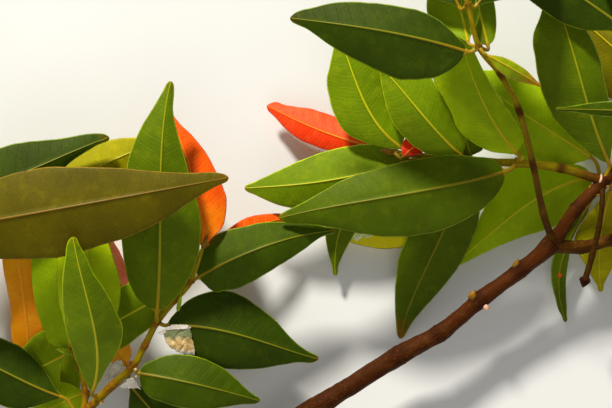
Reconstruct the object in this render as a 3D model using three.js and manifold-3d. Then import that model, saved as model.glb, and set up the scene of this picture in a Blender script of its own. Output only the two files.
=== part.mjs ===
// A cut, leafy branch of a red lip tree, lying down: a forked brown stem,
// its side twigs, and the sprays of leaves on them. Units: millimetres, +Z up.
// The branch lies along X. Its bare cut end points to -X and its lowest
// leaf tips and that end rest on the ground plane, z = 0.

import * as THREE from "three";
import Module from "manifold-3d";

// ---------------------------------------------------------------- sizes
const ORIGIN = [-4.641, 7.552];          // moves the box's centre over the origin
const GAP = 0.3;                // clear space between neighbouring bodies
const LIMB_SIDES = 8;           // sides of the long stem's section
const TWIG_SIDES = 6;           // and of a thin limb's
const LIMB_STEP = 0.5;          // rings per internode step
const NODE_SWELL = 0.10;        // a limb is this much thicker at each node
const NODE_REACH = 0.22;        // and this far along, as a share of an internode
const LEAF_THICK = 0.95;        // half thickness of a leaf body over its midrib
const STALK_R = 1.05;           // radius of a leaf stalk's body
const SLEEVE_R = 1.3;           // a spray's sleeve stands this far off its limb
const SLEEVE_SIDES = 5;         // it is a short prism
const SLEEVE_HALF = 2.1;        // and reaches this far each way from its node
const LEAF_STATIONS = [0, 0.11, 0.28, 0.47, 0.67, 0.84, 1];
const MAIN_CUTS = [0, 4, 10, 16]; // nodes where the long stem's three lengths meet

// places along a leaf, as a share of its length, where its half widths are given
const HALF_AT = [0.04, 0.11, 0.2, 0.31, 0.43, 0.55, 0.67, 0.79, 0.89, 0.96];

const TONES = {
  bark: 0x6e3a22, twig: 0x7d6a26, dry: 0x4a2c18,
  leaf: 0x6d8710, flush: 0xe0551c,
};

// limb: name, where it starts (a point, or a limb and a node on it), radius at its start and end, internodes [length, heading, rise]
const LIMBS = [
  { name: "main", from: [-158.6,-119.4,4.6], r0: 4.6, r1: 1.3, nodes: [[32.8,6.6,4.2], [30.5,4.3,4.7], [34.8,12.5,4.1], [36.0,20.4,3.2], [36.2,29.3,3.2], [37.2,32.3,3.8], [16.9,29.3,5.1], [19.2,39.9,4.5], [18.3,37.3,4.7], [15.3,40.9,7.5], [15.2,55.7,7.6], [13.9,45.8,8.3], [17.6,41.5,6.5], [15.3,41.5,3.8], [16.2,42.3,-0.0], [16.4,41.9,-3.6]] },
  { name: "left_twig", from: ["main",1.0], r0: 1.95, r1: 0.8, nodes: [[29.7,42.3,11.7], [18.7,40.8,15.4], [15.1,39.8,15.4], [12.5,43.7,13.9], [11.4,43.5,15.3], [9.2,59.9,12.5], [9.8,62.0,11.7], [10.7,50.5,10.8], [8.8,49.9,13.1], [13.7,69.2,8.4]] },
  { name: "outer_twig", from: ["left_twig",0.7], r0: 1.7, r1: 0.9, nodes: [[26.3,133.4,19.3], [26.3,113.8,22.3], [27.1,98.6,21.7], [25.1,92.4,21.0], [19.6,90.8,5.9]] },
  { name: "inner_twig", from: ["left_twig",2.81], r0: 1.1, r1: 0.9, nodes: [[8.2,87.9,-5.7], [9.4,104.0,-3.0], [6.8,112.3,-0.1]] },
  { name: "back_twig", from: ["outer_twig",3.52], r0: 1.0, r1: 0.8, nodes: [[21.4,53.0,-19.6], [21.0,31.8,-19.4], [16.4,-5.2,-16.0]] },
  { name: "right_twig", from: ["main",12.03], r0: 1.7, r1: 1.0, nodes: [[17.1,163.8,6.5], [16.0,173.6,7.2], [9.8,177.9,-0.1], [9.8,174.6,-5.8], [13.4,175.2,-4.3], [11.7,172.7,-4.9]] },
  { name: "front_twig", from: ["main",10.04], r0: 1.3, r1: 0.75, nodes: [[17.0,115.2,44.6], [21.7,107.2,36.7], [23.2,108.4,31.2], [15.7,121.3,26.5], [12.7,130.8,23.1], [15.3,106.9,19.2], [15.1,106.9,11.4]] },
  { name: "corner_twig", from: ["main",13.06], r0: 1.5, r1: 1.0, nodes: [[18.2,65.5,40.8], [19.7,85.3,37.6], [17.5,104.6,30.9]] },
  { name: "low_twig", from: ["main",9.93], r0: 2.7, r1: 1.1, nodes: [[12.2,-3.4,-8.7], [11.5,12.9,-5.0], [16.4,7.6,-7.0], [17.5,-5.0,-9.9], [14.3,-12.6,-12.1]] },
  { name: "fruit_stalk", from: ["main",11.98], r0: 0.8, r1: 1.15, nodes: [[8.6,-93.8,17.2], [8.4,-96.9,-3.5], [10.6,-102.8,-8.2], [9.2,-104.9,-9.3]] },
];

// spray: name, limb, node on it, and its leaves
// leaf: tone, stalk [length, heading, rise], blade [length, heading, rise], left half widths, right half widths, bends, arch, fold
const SPRAYS = [
  { name: "left_flush", limb: "left_twig", at: 10.0, leaves: [
    ["red",[0.0,-143.8,28.3], [51.1,105.4,-7.9], [1.7,3.5,5.2,6.6,7.6,8.0,7.6,6.3,4.4,1.8], [2.7,7.1,9.3,10.5,9.7,8.5,6.9,4.6,2.3,1.5], [-2.8,-0.1,-0.3],2,14],
    ["red",[8.0,24.6,-60.5], [32.1,18.1,-25.9], [0.4,1.0,1.8,2.7,3.6,3.8,3.5,2.9,2.3,1.4], [0.9,2.4,3.2,4.0,4.7,4.9,4.8,3.8,2.7,1.5], [1.1,-0.4,-0.1],0.5,14],
  ] },
  { name: "left_tip_leaves", limb: "left_twig", at: 9.0, leaves: [
    ["dark",[3.4,29.6,-35.6], [53.3,18.8,-4.3], [4.2,8.9,10.9,10.6,9.5,8.6,6.7,4.5,2.7,1.4], [6.9,9.2,10.7,10.7,9.9,8.7,7.1,4.7,2.1,1.3], [3.0,0.3,0.3],5,14],
    ["mid",[6.0,-149.8,-56.7], [56.7,-151.3,-19.0], [1.7,4.5,6.4,7.7,8.8,9.8,9.6,7.3,4.1,1.8], [5.5,8.7,10.4,10.5,10.2,9.4,8.0,5.8,3.2,1.4], [-0.3,0.1,-0.1],1,10],
  ] },
  { name: "left_top_leaves", limb: "left_twig", at: 7.0, leaves: [
    ["mid",[6.2,83.5,54.4], [83.8,85.9,8.9], [6.2,11.0,13.1,14.5,14.7,13.8,12.3,8.7,4.4,2.0], [4.2,8.7,12.4,14.3,14.2,11.8,8.9,5.3,2.6,2.0], [0.6,2.1,0.7],8,12],
    ["deep",[3.5,-20.9,0.2], [57.7,-13.2,-10.0], [3.6,8.6,12.2,14.5,14.0,11.5,8.6,4.5,2.2,1.5], [6.2,10.1,12.4,13.8,13.9,12.7,10.2,6.2,3.2,2.2], [2.6,-1.8,-0.1],4,13],
  ] },
  { name: "left_low_leaves", limb: "left_twig", at: 5.0, leaves: [
    ["dark",[3.7,-50.7,32.7], [45.6,-13.3,-3.8], [3.5,6.0,8.2,9.5,9.8,9.1,7.6,4.9,2.5,1.4], [5.2,8.5,9.4,10.0,10.0,9.2,7.5,5.1,3.0,2.0], [1.4,-0.1,-0.1],6,12],
    ["amber",[9.5,-156.8,-72.0], [19.5,126.8,-41.7], [0.7,1.9,3.3,4.3,4.7,4.5,3.8,2.6,1.5,0.7], [0.7,1.9,3.3,4.3,4.7,4.5,3.8,2.6,1.5,0.7], [0.0,0.0,0.0],1,12],
    ["deep",[9.8,-102.6,-38.0], [39.6,-50.7,-20.7], [1.5,4.1,7.1,9.3,10.2,9.7,8.2,5.7,3.2,1.4], [1.6,4.4,7.6,10.0,10.9,10.4,8.8,6.1,3.4,1.5], [0.0,0.0,0.0],3,12],
  ] },
  { name: "left_rise_leaves", limb: "left_twig", at: 3.39, leaves: [
    ["fresh",[6.8,118.8,57.8], [68.0,92.4,32.9], [2.5,5.8,8.2,9.7,11.0,10.8,9.4,7.2,4.5,2.9], [1.1,2.1,4.2,8.0,9.9,8.4,6.7,4.3,3.1,1.7], [-4.1,2.4,0.4],5,14],
  ] },
  { name: "inner_leaves", limb: "inner_twig", at: 3.0, leaves: [
    ["lime",[1.3,-133.5,48.2], [59.4,98.2,8.8], [6.8,8.9,10.6,11.4,11.7,11.1,10.1,8.4,6.0,2.9], [2.9,5.6,7.6,8.9,9.4,9.0,7.8,6.0,3.7,1.7], [-1.8,-0.4,0.3],4,12],
    ["lime",[5.3,-7.0,49.3], [62.4,87.1,15.8], [3.4,8.0,11.0,12.6,13.1,12.5,10.7,7.9,4.8,2.1], [2.4,6.2,9.3,10.8,10.8,8.9,7.0,5.2,3.1,1.4], [-3.7,1.5,0.3],4,12],
    ["fresh",[3.1,-134.9,9.4], [30.9,-157.7,-10.2], [1.3,2.7,7.0,11.4,13.0,13.6,13.3,10.9,6.3,3.0], [5.4,11.4,12.0,11.5,10.0,8.8,7.5,5.8,3.6,1.6], [1.1,0.2,-0.1],2,14],
  ] },
  { name: "left_base_leaves", limb: "left_twig", at: 2.61, leaves: [
    ["deep",[9.6,128.0,8.7], [49.9,156.6,-1.2], [2.1,5.6,9.7,12.1,12.7,12.6,11.7,9.0,5.8,2.6], [1.5,4.2,7.1,9.3,10.7,10.4,9.8,7.9,5.2,2.3], [-0.8,-1.3,0.3],4,12],
    ["lime",[11.0,76.5,-36.8], [24.9,-156.0,-16.2], [1.2,3.2,5.6,7.3,8.0,7.7,6.5,4.5,2.5,1.1], [1.2,3.2,5.6,7.3,8.0,7.7,6.5,4.5,2.5,1.1], [0.0,0.0,0.0],2,12],
    ["bright",[11.9,96.8,-62.2], [30.8,145.2,-15.1], [1.2,3.2,5.6,7.3,8.0,7.7,6.5,4.5,2.5,1.1], [1.7,4.6,7.9,10.3,11.3,10.8,9.1,6.3,3.5,1.6], [0.0,0.0,0.0],1,12],
  ] },
  { name: "outer_top_leaves", limb: "outer_twig", at: 4.96, leaves: [
    ["deep",[8.3,-49.9,-20.6], [71.5,19.4,-3.2], [2.4,6.4,9.9,11.8,12.0,11.4,9.0,6.2,4.4,2.7], [2.3,6.2,8.6,9.1,8.3,7.4,5.7,2.9,1.6,0.9], [-2.3,1.8,0.3],3,12],
    ["mid",[7.8,135.2,-14.2], [58.2,126.7,-14.9], [1.6,4.4,7.6,10.0,10.9,10.4,8.8,6.1,3.4,1.5], [1.6,4.4,7.6,10.0,10.9,10.4,8.8,6.1,3.4,1.5], [0.0,0.0,0.0],5,12],
    ["fresh",[7.8,72.7,7.9], [55.3,67.1,-2.1], [1.6,4.3,7.4,9.7,10.5,10.1,8.5,5.9,3.3,1.5], [1.6,4.3,7.4,9.7,10.5,10.1,8.5,5.9,3.3,1.5], [0.0,0.0,0.0],6,12],
  ] },
  { name: "outer_front_leaves", limb: "outer_twig", at: 4.04, leaves: [
    ["umber",[10.2,13.3,28.0], [108.3,10.1,3.2], [4.5,9.7,13.1,15.2,15.2,13.0,10.2,6.6,4.1,2.8], [4.6,9.3,13.2,15.4,16.8,15.5,13.7,9.7,4.8,2.1], [-0.3,0.1,-0.1],6,9],
    ["mid",[8.6,-159.6,-8.0], [53.5,148.1,-10.8], [2.0,5.3,9.2,12.0,13.1,12.5,10.6,7.3,4.1,1.8], [2.0,5.3,9.2,12.0,13.1,12.5,10.6,7.3,4.1,1.8], [0.0,0.0,0.0],5,12],
  ] },
  { name: "outer_low_leaves", limb: "outer_twig", at: 2.81, leaves: [
    ["dark",[4.2,-1.4,-2.0], [34.0,46.3,13.6], [1.4,3.7,6.4,8.3,9.1,8.7,7.4,5.1,2.8,1.3], [1.4,3.7,6.4,8.3,9.1,8.7,7.4,5.1,2.8,1.3], [0.0,0.0,0.0],1,12],
    ["dark",[5.6,-161.2,-22.6], [65.8,172.0,-33.1], [1.7,4.7,8.2,10.7,11.6,11.1,9.4,6.5,3.6,1.6], [1.7,4.7,8.2,10.7,11.6,11.1,9.4,6.5,3.6,1.6], [0.0,0.0,0.0],8,12],
  ] },
  { name: "outer_base_leaves", limb: "outer_twig", at: 1.38, leaves: [
    ["mid",[4.5,142.5,4.0], [61.0,175.9,-22.8], [1.8,4.8,8.4,11.0,12.0,11.5,9.7,6.7,3.7,1.7], [1.8,4.8,8.4,11.0,12.0,11.5,9.7,6.7,3.7,1.7], [0.0,0.0,0.0],8,12],
    ["dark",[12.0,-113.1,-39.8], [49.7,-154.9,-18.2], [1.4,3.8,6.6,8.7,9.4,9.0,7.7,5.3,2.9,1.3], [1.4,3.8,6.6,8.7,9.4,9.0,7.7,5.3,2.9,1.3], [0.0,0.0,0.0],4,12],
  ] },
  { name: "back_flush", limb: "back_twig", at: 2.02, leaves: [
    ["amber",[7.1,-45.6,-43.5], [70.9,-84.0,-10.6], [1.3,3.6,4.9,6.4,6.7,6.7,6.5,5.3,3.3,1.4], [1.5,4.2,5.7,6.4,6.0,5.8,6.6,5.9,3.9,1.7], [1.1,-0.5,-0.1],1,12],
  ] },
  { name: "back_tip_flush", limb: "back_twig", at: 3.0, leaves: [
    ["pink",[9.1,-30.9,-29.8], [44.6,-51.8,-21.0], [1.2,3.2,5.6,7.3,8.0,7.7,6.5,4.5,2.5,1.1], [1.1,2.9,5.1,6.7,7.3,7.0,5.9,4.1,2.3,1.0], [0.0,0.0,0.0],2,12],
  ] },
  { name: "back_leaves", limb: "back_twig", at: 2.5, leaves: [
    ["yellow",[7.4,-40.9,47.1], [56.7,25.3,-0.0], [1.4,3.7,6.4,8.3,9.1,8.7,7.4,5.1,2.8,1.3], [1.3,3.5,6.1,8.0,8.7,8.4,7.1,4.9,2.7,1.2], [1.1,0.0,0.0],3,12],
  ] },
  { name: "left_foot_leaves", limb: "left_twig", at: 1.07, leaves: [
    ["mid",[6.2,-16.1,-45.3], [37.1,1.5,-10.9], [1.2,3.2,5.6,7.3,8.0,7.7,6.5,4.5,2.5,1.1], [1.0,2.8,4.8,6.3,6.9,6.6,5.6,3.9,2.2,1.0], [0.0,0.0,0.0],3,12],
  ] },
  { name: "right_flush", limb: "right_twig", at: 6.0, leaves: [
    ["red",[7.1,163.9,-44.5], [47.2,158.1,-17.3], [1.0,2.3,3.8,5.1,6.2,6.4,6.1,4.7,2.8,1.8], [2.1,4.0,5.6,6.8,7.1,6.9,6.3,4.5,3.3,2.7], [1.5,-0.1,-0.2],2,14],
    ["scarlet",[5.3,-29.5,48.6], [17.9,43.1,-9.6], [0.5,1.5,2.5,3.3,3.6,3.5,2.9,2.0,1.1,0.5], [0.5,1.5,2.5,3.3,3.6,3.5,2.9,2.0,1.1,0.5], [0.0,0.0,0.0],0.5,8],
  ] },
  { name: "right_tip_leaves", limb: "right_twig", at: 5.12, leaves: [
    ["fresh",[7.9,158.3,8.2], [50.2,118.5,1.1], [2.2,4.6,8.2,11.6,11.9,11.1,9.6,5.8,2.9,1.3], [6.2,8.3,9.9,10.9,11.5,11.4,10.3,8.0,4.8,2.1], [3.9,-2.5,0.4],3,12],
    ["fresh",[6.0,-158.4,-53.7], [62.3,-170.5,-2.8], [2.0,4.3,6.7,8.7,9.9,9.9,9.1,7.7,4.6,2.2], [4.2,7.6,10.1,11.2,11.3,10.6,8.7,6.1,3.5,1.8], [2.4,-0.2,-0.5],3,12],
    ["fresh",[10.4,-135.3,-58.7], [51.1,-123.8,-17.1], [0.8,2.2,3.8,5.0,5.4,5.2,4.4,3.1,1.7,0.8], [0.9,2.3,4.1,5.3,5.8,5.6,4.7,3.3,1.8,0.8], [-9.5,0.0,0.0],1,12],
  ] },
  { name: "right_mid_leaves", limb: "right_twig", at: 4.0, leaves: [
    ["fresh",[2.4,111.8,56.6], [44.2,132.9,7.8], [1.4,3.5,6.6,9.1,10.1,10.4,9.1,6.8,4.3,2.2], [4.1,7.5,9.3,9.8,10.1,10.8,11.4,10.1,7.2,3.6], [0.8,-0.9,-0.1],4,12],
    ["gold",[16.4,-95.1,-66.5], [54.2,-157.9,-13.8], [1.6,4.4,7.6,10.0,10.9,10.4,8.8,6.1,3.4,1.5], [1.5,4.1,7.1,9.3,10.2,9.7,8.2,5.7,3.2,1.4], [5.9,0.0,0.0],1,8],
    ["deep",[3.4,23.2,-16.9], [14.5,107.0,-4.0], [3.0,4.4,5.0,5.2,5.0,4.6,4.0,3.0,1.8,0.9], [4.0,5.2,5.6,5.6,5.2,4.6,3.8,2.8,1.7,0.9], [0.0,0.0,0.0],1,8],
    ["moss",[10.0,-79.7,-53.4], [69.2,-109.9,-19.8], [4.3,8.7,10.8,11.6,11.5,10.5,8.3,5.5,3.0,1.8], [1.8,6.8,10.1,11.5,11.1,10.9,8.7,6.0,3.6,2.0], [-0.8,-2.4,-0.2],4,10],
  ] },
  { name: "right_base_leaves", limb: "right_twig", at: 2.0, leaves: [
    ["moss",[6.4,-143.7,38.5], [83.8,-168.3,0.0], [5.1,10.0,13.1,15.6,15.7,14.5,11.6,7.5,4.5,2.8], [5.2,8.1,10.6,11.7,11.7,10.8,9.7,6.5,3.5,2.1], [0.5,-1.4,-0.2],7,11],
    ["lime",[5.1,91.6,51.8], [56.2,115.1,10.2], [2.4,6.6,9.8,12.4,12.0,12.7,13.2,11.4,6.3,3.0], [5.5,6.7,7.2,6.9,6.1,5.1,4.1,3.2,2.2,1.0], [4.3,-0.7,0.5],4,12],
  ] },
  { name: "right_heel_leaves", limb: "main", at: 11.96, leaves: [
    ["bright",[8.4,124.8,-70.1], [65.8,-146.4,-13.2], [6.2,10.1,12.4,13.1,11.5,8.7,6.1,3.9,2.2,1.0], [4.3,7.2,10.7,13.9,14.1,10.5,6.7,2.4,1.3,0.6], [-4.4,2.8,-1.0],1,12],
    ["mid",[8.5,74.7,28.5], [68.4,110.7,12.7], [2.6,5.6,8.6,12.4,13.9,14.1,13.2,11.6,6.3,3.0], [2.0,5.3,7.3,8.2,8.9,9.3,8.5,6.4,4.0,1.8], [1.1,-1.8,-0.2],7,12],
    ["lime",[9.9,110.0,-8.3], [55.0,145.1,-1.6], [3.3,7.4,12.3,14.1,14.3,13.7,11.8,9.2,4.0,1.8], [1.6,4.3,7.0,9.5,11.6,12.5,13.0,12.3,6.3,3.0], [1.0,0.7,-0.4],1,12],
    ["yellow",[12.2,-21.8,-63.3], [39.9,-93.2,-14.6], [2.2,4.0,5.9,7.4,8.2,8.1,7.3,5.0,2.6,1.1], [1.4,2.7,4.1,5.5,7.5,8.7,6.4,3.8,2.1,0.9], [-2.3,0.0,0.3],1,12],
  ] },
  { name: "front_leaves", limb: "front_twig", at: 5.0, leaves: [
    ["deep",[4.1,-156.1,0.3], [62.2,168.7,-5.5], [5.8,10.8,13.3,15.0,14.1,12.0,9.9,6.7,3.3,1.9], [2.6,5.4,8.4,9.8,9.8,9.4,8.8,7.2,4.7,3.0], [-1.1,0.5,-0.0],5,12],
    ["turning",[3.3,-51.7,18.2], [24.3,-27.1,-21.7], [0.4,1.0,1.8,2.3,2.5,2.4,2.1,1.4,0.8,0.4], [0.5,1.3,2.3,3.0,3.3,3.1,2.6,1.8,1.0,0.5], [0.0,0.0,0.0],2,12],
    ["bright",[5.0,150.5,-36.4], [33.7,101.6,-19.1], [1.7,4.6,7.9,10.3,11.3,10.8,9.1,6.3,3.5,1.6], [1.1,2.9,5.1,6.7,7.3,7.0,5.9,4.1,2.3,1.0], [0.0,0.0,0.0],1,12],
    ["fresh",[8.9,15.2,-63.8], [41.5,97.2,-22.6], [2.5,4.0,5.2,6.0,6.2,5.8,5.0,3.7,2.2,1.0], [2.5,4.0,5.2,6.0,6.2,5.8,5.0,3.7,2.2,1.0], [1.5,0.6,-0.1],2,12],
  ] },
  { name: "front_upper_leaves", limb: "front_twig", at: 6.0, leaves: [
    ["deep",[4.0,-163.6,-49.6], [39.1,115.7,-14.8], [1.6,4.4,7.6,10.0,10.9,10.4,8.8,6.1,3.4,1.5], [1.6,4.4,7.6,10.0,10.9,10.4,8.8,6.1,3.4,1.5], [0.0,0.0,0.0],3,12],
    ["deep",[3.0,-5.1,-19.9], [44.1,52.6,-18.5], [1.5,4.1,7.1,9.3,10.2,9.7,8.2,5.7,3.2,1.4], [1.5,4.1,7.1,9.3,10.2,9.7,8.2,5.7,3.2,1.4], [0.0,0.0,0.0],4,12],
  ] },
  { name: "front_tip_leaves", limb: "front_twig", at: 7.0, leaves: [
    ["mid",[1.3,89.2,0.1], [29.1,166.0,-3.9], [1.2,3.2,5.6,7.3,8.0,7.7,6.5,4.5,2.5,1.1], [1.2,3.2,5.6,7.3,8.0,7.7,6.5,4.5,2.5,1.1], [0.0,0.0,0.0],3,12],
    ["bright",[2.4,55.5,0.0], [26.1,81.7,-8.8], [1.0,2.6,4.6,6.0,6.5,6.3,5.3,3.7,2.0,0.9], [1.0,2.6,4.6,6.0,6.5,6.3,5.3,3.7,2.0,0.9], [0.0,0.0,0.0],3,12],
  ] },
  { name: "corner_leaves", limb: "corner_twig", at: 2.04, leaves: [
    ["deep",[8.3,141.5,-9.8], [77.3,145.8,-3.0], [2.1,2.3,3.3,8.6,11.0,11.0,10.2,7.6,4.2,1.8], [1.5,4.1,6.3,8.4,8.7,8.2,7.1,5.4,3.8,1.7], [-0.3,-0.2,0.1],5,12],
    ["dark",[4.1,45.5,-5.8], [54.7,53.0,-15.9], [1.6,4.3,7.4,9.7,10.5,10.1,8.5,5.9,3.3,1.5], [1.6,4.3,7.4,9.7,10.5,10.1,8.5,5.9,3.3,1.5], [0.0,0.0,0.0],6,12],
  ] },
  { name: "corner_tip_leaves", limb: "corner_twig", at: 3.0, leaves: [
    ["mid",[3.5,134.8,0.2], [38.2,132.2,-3.0], [1.3,3.5,6.1,8.0,8.7,8.4,7.1,4.9,2.7,1.2], [1.2,3.2,5.6,7.3,8.0,7.7,6.5,4.5,2.5,1.1], [0.0,0.0,0.0],4,12],
    ["fresh",[4.2,55.5,0.2], [43.2,65.7,-8.0], [1.2,3.4,5.9,7.7,8.4,8.0,6.8,4.7,2.6,1.2], [1.3,3.5,6.1,8.0,8.7,8.4,7.1,4.9,2.7,1.2], [0.0,0.0,0.0],4,12],
  ] },
  { name: "corner_low_leaves", limb: "corner_twig", at: 1.0, leaves: [
    ["dark",[5.1,-178.4,36.4], [40.2,179.6,23.5], [0.4,1.0,1.8,2.3,2.5,2.4,2.1,1.4,0.8,0.4], [0.5,1.3,2.3,3.0,3.3,3.1,2.6,1.8,1.0,0.5], [0.0,0.0,0.0],3,12],
    ["mid",[4.6,1.0,-12.3], [47.8,24.9,-14.6], [1.6,4.4,7.6,10.0,10.9,10.4,8.8,6.1,3.4,1.5], [1.6,4.4,7.6,10.0,10.9,10.4,8.8,6.1,3.4,1.5], [0.0,0.0,0.0],6,12],
  ] },
  { name: "stem_side_leaves", limb: "main", at: 14.96, leaves: [
    ["olive",[12.0,-117.4,-42.0], [58.2,137.1,-5.9], [2.2,5.9,10.2,13.3,14.5,13.9,11.8,8.1,4.5,2.0], [1.8,5.0,8.7,11.3,12.4,11.8,10.0,6.9,3.9,1.7], [0.0,0.0,0.0],3,12],
    ["dark",[5.1,-20.3,-11.8], [57.0,-39.5,-31.7], [1.6,4.3,7.4,9.7,10.5,10.1,8.5,5.9,3.3,1.5], [1.6,4.3,7.4,9.7,10.5,10.1,8.5,5.9,3.3,1.5], [0.0,0.0,0.0],8,12],
  ] },
  { name: "stem_tip_leaves", limb: "main", at: 16.0, leaves: [
    ["mid",[4.5,92.2,-12.6], [57.3,82.6,-31.1], [1.5,4.0,6.9,9.0,9.8,9.4,7.9,5.5,3.1,1.4], [1.5,4.0,6.9,9.0,9.8,9.4,7.9,5.5,3.1,1.4], [0.0,0.0,0.0],8,12],
    ["fresh",[4.3,5.7,-13.2], [56.5,9.1,-29.7], [1.5,4.0,6.9,9.0,9.8,9.4,7.9,5.5,3.1,1.4], [1.5,4.0,6.9,9.0,9.8,9.4,7.9,5.5,3.1,1.4], [0.0,0.0,0.0],7,12],
  ] },
  { name: "low_leaves", limb: "main", at: 11.63, leaves: [
    ["moss",[14.2,-85.0,-68.9], [45.6,-98.7,-14.0], [1.4,1.2,0.8,0.9,2.3,2.8,2.9,2.6,2.0,1.1], [1.1,2.5,3.0,3.2,3.3,3.3,2.7,1.7,1.4,0.7], [-6.1,-0.9,0.6],2,12],
  ] },
  { name: "low_mid_leaves", limb: "low_twig", at: 3.0, leaves: [
    ["olive",[4.6,97.2,-12.7], [40.7,91.3,-20.1], [1.2,3.2,5.6,7.3,8.0,7.7,6.5,4.5,2.5,1.1], [1.3,3.5,6.1,8.0,8.7,8.4,7.1,4.9,2.7,1.2], [0.0,0.0,0.0],3,12],
    ["mid",[5.0,-76.1,-23.6], [46.9,-80.2,-22.2], [1.5,4.0,6.9,9.0,9.8,9.4,7.9,5.5,3.1,1.4], [1.5,4.0,6.9,9.0,9.8,9.4,7.9,5.5,3.1,1.4], [0.0,0.0,0.0],7,12],
  ] },
  { name: "low_tip_leaves", limb: "low_twig", at: 5.0, leaves: [
    ["dark",[4.0,51.5,14.7], [45.8,15.7,-16.5], [1.4,3.8,6.6,8.7,9.4,9.0,7.7,5.3,2.9,1.3], [1.4,3.8,6.6,8.7,9.4,9.0,7.7,5.3,2.9,1.3], [0.0,0.0,0.0],6,12],
    ["mid",[4.7,-62.6,-25.2], [40.5,-69.9,-15.5], [1.3,3.5,6.1,8.0,8.7,8.4,7.1,4.9,2.7,1.2], [1.3,3.5,6.1,8.0,8.7,8.4,7.1,4.9,2.7,1.2], [0.0,0.0,0.0],4,12],
  ] },
];

// ---------------------------------------------------------------- tools
const wasm = await Module();
wasm.setup();
const rad = THREE.MathUtils.degToRad;
const UP = new THREE.Vector3(0, 0, 1);

// a step of a given length, compass heading (from +X, counter-clockwise) and rise
function step([length, heading, rise]) {
  const h = rad(heading), r = rad(rise);
  return new THREE.Vector3(Math.cos(r) * Math.cos(h), Math.cos(r) * Math.sin(h), Math.sin(r)).multiplyScalar(length);
}

function frameAt(tangent) {
  const t = tangent.clone().normalize();
  const side = new THREE.Vector3().crossVectors(UP, t).normalize();
  return { t, side, up: new THREE.Vector3().crossVectors(t, side) };
}

// closed skin over a row of rings that all have the same number of points;
// a ring with one point is a tip
function skin(rings) {
  const points = [], faces = [], starts = [];
  for (const ring of rings) { starts.push(points.length / 3); for (const p of ring) points.push(p.x, p.y, p.z); }
  for (let i = 0; i + 1 < rings.length; i++) {
    const a = starts[i], b = starts[i + 1], na = rings[i].length, nb = rings[i + 1].length, n = Math.max(na, nb);
    for (let k = 0; k < n; k++) {
      const l = (k + 1) % n;
      if (nb > 1) faces.push(a + (na > 1 ? k : 0), b + l, b + k);
      if (na > 1) faces.push(a + k, a + l, b + (nb > 1 ? l : 0));
    }
  }
  const last = rings.length - 1;
  for (let k = 1; k + 1 < rings[0].length; k++) faces.push(starts[0], starts[0] + k + 1, starts[0] + k);
  for (let k = 1; k + 1 < rings[last].length; k++) faces.push(starts[last], starts[last] + k, starts[last] + k + 1);
  let volume = 0;
  const v = (i) => new THREE.Vector3(points[3 * i], points[3 * i + 1], points[3 * i + 2]);
  for (let i = 0; i < faces.length; i += 3) volume += v(faces[i]).dot(v(faces[i + 1]).cross(v(faces[i + 2])));
  if (volume < 0) for (let i = 0; i < faces.length; i += 3) [faces[i + 1], faces[i + 2]] = [faces[i + 2], faces[i + 1]];
  const geometry = new THREE.BufferGeometry();
  geometry.setAttribute("position", new THREE.Float32BufferAttribute(points, 3));
  geometry.setIndex(faces);
  return geometry;
}

function solid(geometry) {
  return new wasm.Manifold(new wasm.Mesh({
    numProp: 3,
    vertProperties: new Float32Array(geometry.attributes.position.array),
    triVerts: new Uint32Array(geometry.index.array),
  }));
}

function geometryOf(body) {
  const m = body.getMesh();
  const geometry = new THREE.BufferGeometry();
  const flat = new Float32Array(m.numVert * 3);
  for (let i = 0; i < m.numVert; i++) for (let k = 0; k < 3; k++) flat[3 * i + k] = m.vertProperties[i * m.numProp + k];
  geometry.setAttribute("position", new THREE.BufferAttribute(flat, 3));
  geometry.setIndex(new THREE.BufferAttribute(new Uint32Array(m.triVerts), 1));
  geometry.computeVertexNormals();
  return geometry;
}

// ---------------------------------------------------------------- limbs
// Each limb runs through its nodes on one smooth line and tapers evenly.
const limbs = {};
for (const limb of LIMBS) {
  const start = typeof limb.from[0] === "string"
    ? pointOn(limb.from[0], limb.from[1])
    : new THREE.Vector3(...limb.from);
  const points = [start];
  for (const internode of limb.nodes) points.push(points.at(-1).clone().add(step(internode)));
  const curve = new THREE.CatmullRomCurve3(points, false, "catmullrom", 0.5);
  limbs[limb.name] = { ...limb, curve, count: points.length - 1 };
}

function pointOn(name, at) {
  return limbs[name].curve.getPoint(at / limbs[name].count);
}

function radiusAt(limb, at) {
  const u = at / limb.count;
  const off = Math.abs(at - Math.round(at)) / NODE_REACH;
  const swell = Math.round(at) > 0 && Math.round(at) < limb.count ? NODE_SWELL * Math.max(0, 1 - off * off) : 0;
  return (limb.r0 + (limb.r1 - limb.r0) * u) * (1 + swell);
}

// the body of a limb between two of its nodes; grow makes it fatter all round
function limbBody(limb, from, to, { grow = 0, sides = LIMB_SIDES, trim = 0, squareStart = false, reach = 0 } = {}) {
  const steps = Math.max(1, Math.ceil((to - from) / LIMB_STEP));
  const rings = [];
  for (let i = 0; i <= steps; i++) {
    const at = from + ((to - from) * i) / steps;
    const tangent = limb.curve.getTangent(Math.min(1, Math.max(0, at / limb.count)));
    if (squareStart && i === 0) tangent.set(1, 0, 0);
    const { t, side, up } = frameAt(tangent);
    const centre = limb.curve.getPoint(at / limb.count);
    if (i === 0) centre.addScaledVector(t, trim - reach);
    if (i === steps) centre.addScaledVector(t, reach - trim);
    const r = radiusAt(limb, at) + grow;
    const ring = [];
    for (let k = 0; k < sides; k++) {
      const a = (2 * Math.PI * k) / sides - Math.PI / 2;
      ring.push(centre.clone().addScaledVector(side, r * Math.cos(a)).addScaledVector(up, r * Math.sin(a)));
    }
    rings.push(ring);
  }
  return solid(skin(rings));
}

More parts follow.
